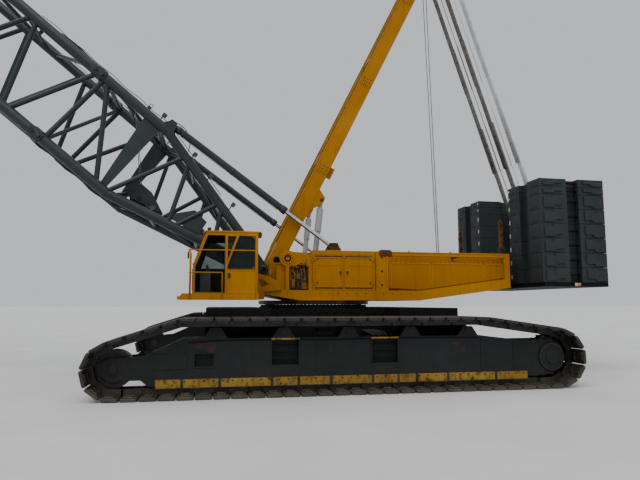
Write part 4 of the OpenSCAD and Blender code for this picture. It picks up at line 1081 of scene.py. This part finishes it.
def cab_door_trim():
    d = MB(); y = MB()
    yo = 2.808
    win = [(2.04, 2.90), (2.73, 2.90), (2.72, 2.96), (2.44, 3.74), (2.04, 3.74)]
    d.tube([(x, yo + 0.001, z) for x, z in win], 0.018, 6, closed=True)
    # rounded corner fillets of the window
    y.prism([(2.04, 3.74), (2.16, 3.74), (2.08, 3.71), (2.05, 3.66), (2.04, 3.62)], 2.762, 2.804)
    y.prism([(2.04, 2.90), (2.04, 3.02), (2.05, 2.96), (2.09, 2.92), (2.16, 2.90)], 2.762, 2.804)
    # rail across the door and the pressed lower panel
    for xa, xb, za, zb in ((2.0, 2.76, 2.84, 2.86), (2.0, 2.76, 2.27, 2.29), (2.0, 2.02, 2.27, 2.86), (2.74, 2.76, 2.27, 2.86)):
        y.box(xa, xb, yo - 0.004, yo + 0.008, za, zb)
    d.box(2.66, 2.72, yo, yo + 0.03, 2.66, 2.78)
    d.lathe((2.69, yo + 0.03, 2.74), (0, 1, 0), [(0, 0.014), (0.012, 0.014), (0.012, 0.001)], 12)
    # runner track
    d.box(1.97, 2.78, yo - 0.02, yo + 0.004, 2.232, 2.25)
    d.make("cab_door_seals", rubber, "sliding_cab_door", slot="console_plastic")
    y.make("cab_door_trim", yellow, "sliding_cab_door", bevel=0.003, segments=1, slot="yellow_paint")


cab_door_trim()


def cushion(name, x0, x1, y0, y1, z0, z1, crown, axis):
    """A crowned pad with pulled-in corners and sewn channels; the crown points along axis."""
    nx, ny = 20, 20
    vs = []; fs = []
    for side in (1, -1):
        for i in range(nx + 1):
            for j in range(ny + 1):
                a, b = i / nx * 2 - 1, j / ny * 2 - 1
                pull = 1 - 0.05 * (a * a) * (b * b) - 0.035 * (1 - abs(b)) * abs(a) ** 6 - 0.035 * (1 - abs(a)) * abs(b) ** 6
                ea, eb = math.copysign(abs(a) ** 0.9, a) * pull, math.copysign(abs(b) ** 0.9, b) * pull
                edge = (1 - abs(a) ** 4) * (1 - abs(b) ** 4)
                ch = 0.16 * (math.exp(-((a - 0.45) / 0.05) ** 2) + math.exp(-((a + 0.45) / 0.05) ** 2)) + 0.10 * math.exp(-(b / 0.05) ** 2)
                hgt = (0.35 + 0.65 * edge ** 0.45 - ch * edge) if side > 0 else -(0.35 + 0.12 * edge)
                if axis == "z":
                    vs.append(((x0 + x1) / 2 + ea * (x1 - x0) / 2, (y0 + y1) / 2 + eb * (y1 - y0) / 2, (z0 + z1) / 2 + hgt * (z1 - z0) / 2))
                else:
                    vs.append(((x0 + x1) / 2 + hgt * (x1 - x0) / 2, (y0 + y1) / 2 + eb * (y1 - y0) / 2, (z0 + z1) / 2 + ea * (z1 - z0) / 2))
    def idx(s, i, j):
        return s * (nx + 1) * (ny + 1) + i * (ny + 1) + j
    for i in range(nx):
        for j in range(ny):
            fs.append((idx(0, i, j), idx(0, i + 1, j), idx(0, i + 1, j + 1), idx(0, i, j + 1)))
            fs.append((idx(1, i, j), idx(1, i, j + 1), idx(1, i + 1, j + 1), idx(1, i + 1, j)))
    rim = [(i, 0) for i in range(nx)] + [(nx, j) for j in range(ny)] + [(i, ny) for i in range(nx, 0, -1)] + [(0, j) for j in range(ny, 0, -1)]
    for k in range(len(rim)):
        p, q = rim[k], rim[(k + 1) % len(rim)]
        fs.append((idx(0, *q), idx(0, *p), idx(1, *p), idx(1, *q)))
    m = MB()
    m.add(vs, fs, True)
    o = m.make(name, fabric, "platform", slot="seat_fabric")
    sub = o.modifiers.new("sub", "SUBSURF"); sub.levels = 1; sub.render_levels = 1
    return o


seat = cushion("seat_cushion", 2.31, 2.79, 1.96, 2.44, 2.555, 2.70, 0.05, "z")
back = cushion("seat_back", 2.155, 2.285, 1.97, 2.43, 2.60, 3.24, 0.05, "x")
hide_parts("cab_seat")
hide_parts("cab_seat")


def cab_inside():
    p = MB(); s = MB(); c = MB()
    # seat base, slides and arm rests
    p.prism([(2.36, 2.26), (2.74, 2.26), (2.70, 2.40), (2.66, 2.53), (2.40, 2.53), (2.38, 2.40)], 2.06, 2.34)
    for y in (1.93, 2.43):
        p.box(2.30, 2.70, y, y + 0.045, 2.82, 2.87)
        p.box(2.28, 2.34, y, y + 0.045, 2.6, 2.84)
        s.lathe((2.66, y + 0.02, 2.87), (0.1, 0, 1), [(0, 0.02), (0.02, 0.012), (0.10, 0.010), (0.12, 0.022), (0.17, 0.026), (0.19, 0.018), (0.195, 0.001)], 14)
    # screen and dash rim
    p.prism([(3.20, 2.80), (3.30, 2.80), (3.27, 3.02), (3.24, 3.03), (3.17, 2.82)], 1.95, 2.22)
    c.prism([(3.165, 2.83), (3.172, 2.83), (3.235, 3.01), (3.228, 3.01)], 1.97, 2.20)
    for k in range(6):
        s.lathe((2.45 + 0.07 * k, 1.80, 2.78), (0, 0, 1), [(0, 0.016), (0.012, 0.016), (0.016, 0.012), (0.016, 0.001)], 12)
    # pedals
    for y in (2.05, 2.25):
        s.box(3.00, 3.12, y - 0.04, y + 0.04, 2.28, 2.30, lambda x, yy, z: (x, yy, z + (x - 3.0) * 0.5))
    p.make("cab_inner_parts", plastic, "platform", bevel=0.012, slot="console_plastic")
    s.make("cab_controls", dark_steel, "platform", slot="machined_steel")
    c.make("cab_screen", rubber, "platform", slot="cab_glass")


cab_inside()
soften(["cab_console"], 0.02, 3)

# ---------------------------------------------------------------- mast
soften(["mast"], 0.010)


def mast_trim():
    t = MB(); d = MB()
    for s in (1, -1):
        # flange strips along both edges of each leg, splice plates and bolts
        for w in (-0.185, 0.185):
            y0, y1 = sorted((s * 1.108, s * 1.118))
            t.box(0.45, 11.7, y0, y1, w - 0.018, w + 0.018, lambda u, y, ww: on_mast(u, y, ww))
        for u in (2.95, 6.1, 9.3):
            y0, y1 = sorted((s * 1.106, s * 1.122))
            t.box(u, u + 0.30, y0, y1, -0.15, 0.15, lambda uu, y, ww: on_mast(uu, y, ww))
            for a in (0.05, 0.15, 0.25):
                for b in (-0.10, 0.0, 0.10):
                    p = on_mast(u + a, s * 1.122, b)
                    d.bolt(p, (0, s, 0), 0.013, 0.012)
        # pin ends at the cylinder eye
        d.lathe(on_mast(2.23, s * 1.10, 0.40), (0, s, 0), [(-0.01, 0.055), (0.014, 0.055), (0.02, 0.04), (0.02, 0.001)], 20)
        # pipe runs up the front of the leg
        for k in range(2):
            q = [on_mast(0.5 + 1.2 * i, s * (0.9 + 0.06 * k), -0.223) for i in range(10)]
            d.tube(q, 0.012, 6)
        d.lathe(on_mast(ML, s * 1.10, 0), (0, s, 0), [(-0.01, 0.09), (0.012, 0.09), (0.02, 0.07), (0.02, 0.001)], 24)
    # small bracket behind the near leg
    t.box(2.95, 3.30, 0.93, 0.98, 0.20, 0.36, lambda u, y, w: on_mast(u, y, w))
    t.make("mast_flanges", yellow_mast, "mast_body", bevel=0.003, segments=1, slot="yellow_paint")
    d.make("mast_bolts_and_pipes", dark_steel, "mast_body", slot="dark_grey_paint")


mast_trim()
pair = m.make("hoist_rope_pair", rope, None, slot="rope_steel")
# straight between the platform and the mast head at every pose: only the two ends have points
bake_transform(pair)


def reeving():
    """Taut ropes between the mast head and the rear sheaves, in three sliding stages."""
    a = T0
    b = Vector((-7.80, 0, 3.45))
    d = b - a
    L = math.hypot(d.x, d.z)
    d = d / L
    up = Vector((-d.z, 0, d.x))
    # (stage, its body, start, end, offsets across the band, sideways offset)
    for node, body, s0, s1, ws, dy in (("reeving_upper", "reeving_stage_one", 0.36, 5.09, (0.0, 0.03), 0.0),
                                       ("reeving_middle", "reeving_stage_two", 3.43, 8.15, (0.0, 0.03), 0.03),
                                       ("reeving_lower", "reeving_stage_three", 6.49, L - 0.30, (-0.034, -0.064), 0.0)):
        near = MB(); far = MB()
        for r, y0, n in ((near, 0.67, 4), (far, -0.88, 4), (far, -0.12, 4), (near, 0.33, 1), (far, -0.42, 1)):
            for k in range(n):
                for w in ws if n > 1 else ws[:1]:
                    y = y0 + 0.06 * k + dy
                    p, q = a + d * s0 + up * w, a + d * s1 + up * w
                    r.cyl((p.x, y, p.z), (q.x, y, q.z), 0.0125, n=10)
        # the near ropes carry a painted highlight in the lighter rope colour; the far ropes keep the plain rope colour
        o = near.make(node + "_near_ropes", rope_painted_highlight, body, slot="rope_steel")
        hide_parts(node)
        o = far.make(node + "_far_ropes", rope, body, slot="rope_steel")
        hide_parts(node)


reeving()

# ---------------------------------------------------------------- boom


def boom_trim():
    t = MB(); d = MB(); c = MB(); lens = MB()
    W, H = 1.30, 1.205
    # pinned section joints: lugs, pins and collars
    for u in (7.05, 17.05):
        for v in (-W, W):
            for w in (-H, H):
                for du in (-0.11, 0.11):
                    q = on_boom(u + du, v, w)
                    d.cyl(on_boom(u + du, v - 0.21, w), on_boom(u + du, v + 0.21, w), 0.035, n=12)
                    d.cyl(on_boom(u + du, v + math.copysign(0.195, v), w), on_boom(u + du, v + math.copysign(0.225, v), w), 0.055, n=12)
                for s in (-1, 1):
                    y0 = v + s * 0.155
                    t.box(u - 0.22, u + 0.22, y0 - 0.016, y0 + 0.016, w - 0.11, w + 0.11, lambda uu, y, ww: on_boom(uu, y, ww))
    for v in (-W, W):
        s = math.copysign(1, v)
        # lamps on brackets along the tapered chord
        for u, w in ((5.0, 1.41), (3.62, 1.13), (2.88, 0.95), (1.86, 0.74)):
            b0 = on_boom(u, v * 0.94, w - 0.10)
            b1 = on_boom(u + 0.02, v * 0.94, w + 0.10)
            d.cyl(b0, b1, 0.016, n=8)
            d.box(u - 0.055, u + 0.055, v * 0.94 - 0.06, v * 0.94 + 0.06, w + 0.06, w + 0.17, lambda uu, y, ww: on_boom(uu, y, ww))
            y0, y1 = sorted((v * 0.94 + s * 0.058, v * 0.94 + s * 0.068))
            lens.box(u - 0.045, u + 0.045, y0, y1, w + 0.07, w + 0.16, lambda uu, y, ww: on_boom(uu, y, ww))
    # cable above the upper chord, sagging between its clips
    pts = []
    for k in range(15):
        u = 9.3 - k * 0.5
        w = 1.205 + 0.19 + (0.035 if k % 2 else 0.0)
        if u < 4.7:
            w = 0.28 + (u - 0.85) * 0.2454 + 0.20
        pts.append(on_boom(u, 1.24, w))
    c.tube(smooth_path(pts, 4), 0.011, 6)
    pts = [on_boom(9.0 - k * 0.6, -1.22, (1.205 if 9.0 - k * 0.6 > 4.7 else 0.28 + (9.0 - k * 0.6 - 0.85) * 0.2454) + 0.185) for k in range(13)]
    c.tube(smooth_path(pts, 4), 0.011, 6)
    # clip with a ring eye, and a short thick cable piece
    for v in (-1, 1):
        t.box(5.40, 5.50, v * 1.24 - 0.02, v * 1.24 + 0.02, 1.30, 1.44, lambda uu, yy, ww: on_boom(uu, yy, ww))
        q = on_boom(5.45, v * 1.24, 1.485)
        d.tube([(q.x + 0.05 * math.cos(k * math.pi / 8), q.y, q.z + 0.05 * math.sin(k * math.pi / 8)) for k in range(16)], 0.010, 7, closed=True)
    d.tube(smooth_path([on_boom(8.6, 1.2, 1.37), on_boom(8.1, 1.2, 1.40), on_boom(7.6, 1.2, 1.37), on_boom(7.3, 1.2, 1.36)], 5), 0.030, 8)
    # winch drive pipes under the lower joint
    for k in range(3):
        d.tube(smooth_path([on_boom(4.9 - 0.3 * k, 0.9 - 0.1 * k, -1.25), on_boom(4.6 - 0.2 * k, 0.85, -1.31 - 0.02 * k), on_boom(4.2, 0.8, -1.22), on_boom(3.8, 0.75, -1.08)], 5), 0.022, 8)
    # loose loop of hose near the backstop lug
    c.tube(smooth_path([on_boom(4.9, 1.2, 1.36), on_boom(4.7, 1.2, 1.55), on_boom(4.35, 1.22, 1.62), on_boom(4.0, 1.24, 1.45), on_boom(3.8, 1.26, 1.17)], 6), 0.013, 7)
    # wavy hose bundle under the lower chord joint
    for k in range(3):
        c.tube(smooth_path([on_boom(7.3 - 0.45 * i, 1.22 - 0.05 * k, -1.33 - (0.05 if i % 2 else 0.0) - 0.02 * k) for i in range(7)], 5), 0.012, 6)
    # rope rollers across the top, and the ropes that run to the head
    for u in (6.2, 9.9, 13.6, 17.4, 21.2):
        wv = 1.205
        d.cyl(on_boom(u, -0.42, wv + 0.16), on_boom(u, 0.42, wv + 0.16), 0.055, n=16)
        for y in (-0.45, 0.45):
            t.box(u - 0.06, u + 0.06, y - 0.012, y + 0.012, wv - 0.03, wv + 0.21, lambda uu, yy, ww: on_boom(uu, yy, ww))
        t.cyl(on_boom(u, -1.28, wv), on_boom(u, 1.28, wv), 0.05, n=12)
    # foot triangle plate on the lower chord
    for v in (-1.0, 1.0):
        s = v
        t.add([on_boom(u, 1.30 * v + dy, w) for dy in (-0.012, 0.012) for u, w in ((3.10, -0.66), (2.02, -0.42), (2.08, -0.02), (2.55, 0.02))],
              [(0, 1, 2, 3), (7, 6, 5, 4), (0, 4, 5, 1), (1, 5, 6, 2), (2, 6, 7, 3), (3, 7, 4, 0)])
        d.lathe(on_boom(0, 1.36 * v, 0), (0, s, 0), [(-0.01, 0.13), (0.006, 0.13), (0.01, 0.09)], 24)
    # catwalk mesh along the bottom of the foot section
    for i in range(26):
        u = 7.3 + i * 0.36
        t.box(u, u + 0.03, -0.32, 0.32, -1.175, -1.145, lambda uu, y, ww: on_boom(uu, y, ww))
    for y in (-0.32, -0.11, 0.11, 0.32):
        t.box(7.2, 16.7, y - 0.015, y + 0.015, -1.205, -1.165, lambda uu, yy, ww: on_boom(uu, yy, ww))
    for i in range(5):
        u = 7.25 + i * 2.4
        t.cyl(on_boom(u, -1.28, -1.205), on_boom(u, 1.28, -1.205), 0.045, n=12)
    t.make("boom_lugs_and_rollers", green, "boom_body", bevel=0.004, segments=1, slot="dark_green_paint")
    d.make("boom_pins_and_lamps", dark_steel, "boom_body", slot="dark_grey_paint")
    c.make("boom_cables", rubber, "boom_body", slot="console_plastic")
    lens.make("boom_lamp_lenses", dark_lens, "boom_body", slot="cab_glass")
    # winch rope
    r = MB()
    n = 22 * 20
    pts = []
    for i in range(n + 1):
        a = 2 * math.pi * i / 20
        p = on_boom(4.05 + 0.205 * math.cos(a), -0.46 + 0.92 * i / n, -0.69 + 0.205 * math.sin(a))
        pts.append(p)
    r.tube(pts, 0.013, 6)
    for s in (-1, 1):
        for i in range(8):
            a = 2 * math.pi * i / 8
            r.bolt(on_boom(4.05 + 0.21 * math.cos(a), s * 0.54, -0.69 + 0.21 * math.sin(a)), (0, s, 0), 0.014, 0.012)
    r.make("boom_winch_rope", rope, "boom_drum", slot="rope_steel")
    # taut whip from the winch over the rollers
    w = MB()
    for y in (-0.2, 0.2):
        q = [on_boom(4.2, y, -0.53)] + [on_boom(u, y, 1.205 + 0.225) for u in (6.2, 9.9, 13.6, 17.4, 21.2)] + [on_boom(26.5, y, 0.62)]
        w.tube(q, 0.013, 6)
    w.make("boom_whip_ropes", rope, "boom_body", slot="rope_steel")


boom_trim()

# backstop fittings
t = MB(); d = MB()
BSU, BSW = 4.62, 1.44
top = on_boom(BSU, 0, BSW)
ang = math.atan2(3.65 - top.z, -0.35 - top.x)
L = math.hypot(3.65 - top.z, -0.35 - top.x)


def on_bs(s, y, h=0.0):
    return Vector((top.x + s * math.cos(ang) - h * math.sin(ang), y, top.z + s * math.sin(ang) + h * math.cos(ang)))


for s in (1, -1):
    y = s * 1.3
    for a, b, r in ((0.16, 0.30, 0.112), (2.1, 2.16, 0.108), (3.86, 4.035, 0.116)):
        t.ring(on_bs(a, y), on_bs(b, y) - on_bs(a, y), [(0, 0.085), (0, r - 0.01), (0.01, r), (b - a - 0.01, r), (b - a, r - 0.01), (b - a, 0.085)], 28)
    d.tube(smooth_path([on_bs(0.35, y, 0.112), on_bs(1.2, y, 0.118), on_bs(2.4, y, 0.112), on_bs(3.8, y, 0.118)], 5), 0.009, 6)
t.make("backstop_rings", tube_green, "backstop_outer", slot="dark_green_paint")
d.make("backstop_pipes", rubber, "backstop_outer", slot="console_plastic")

# rounder edges where the CAD is plain
soften(["hook_block"], 0.015)
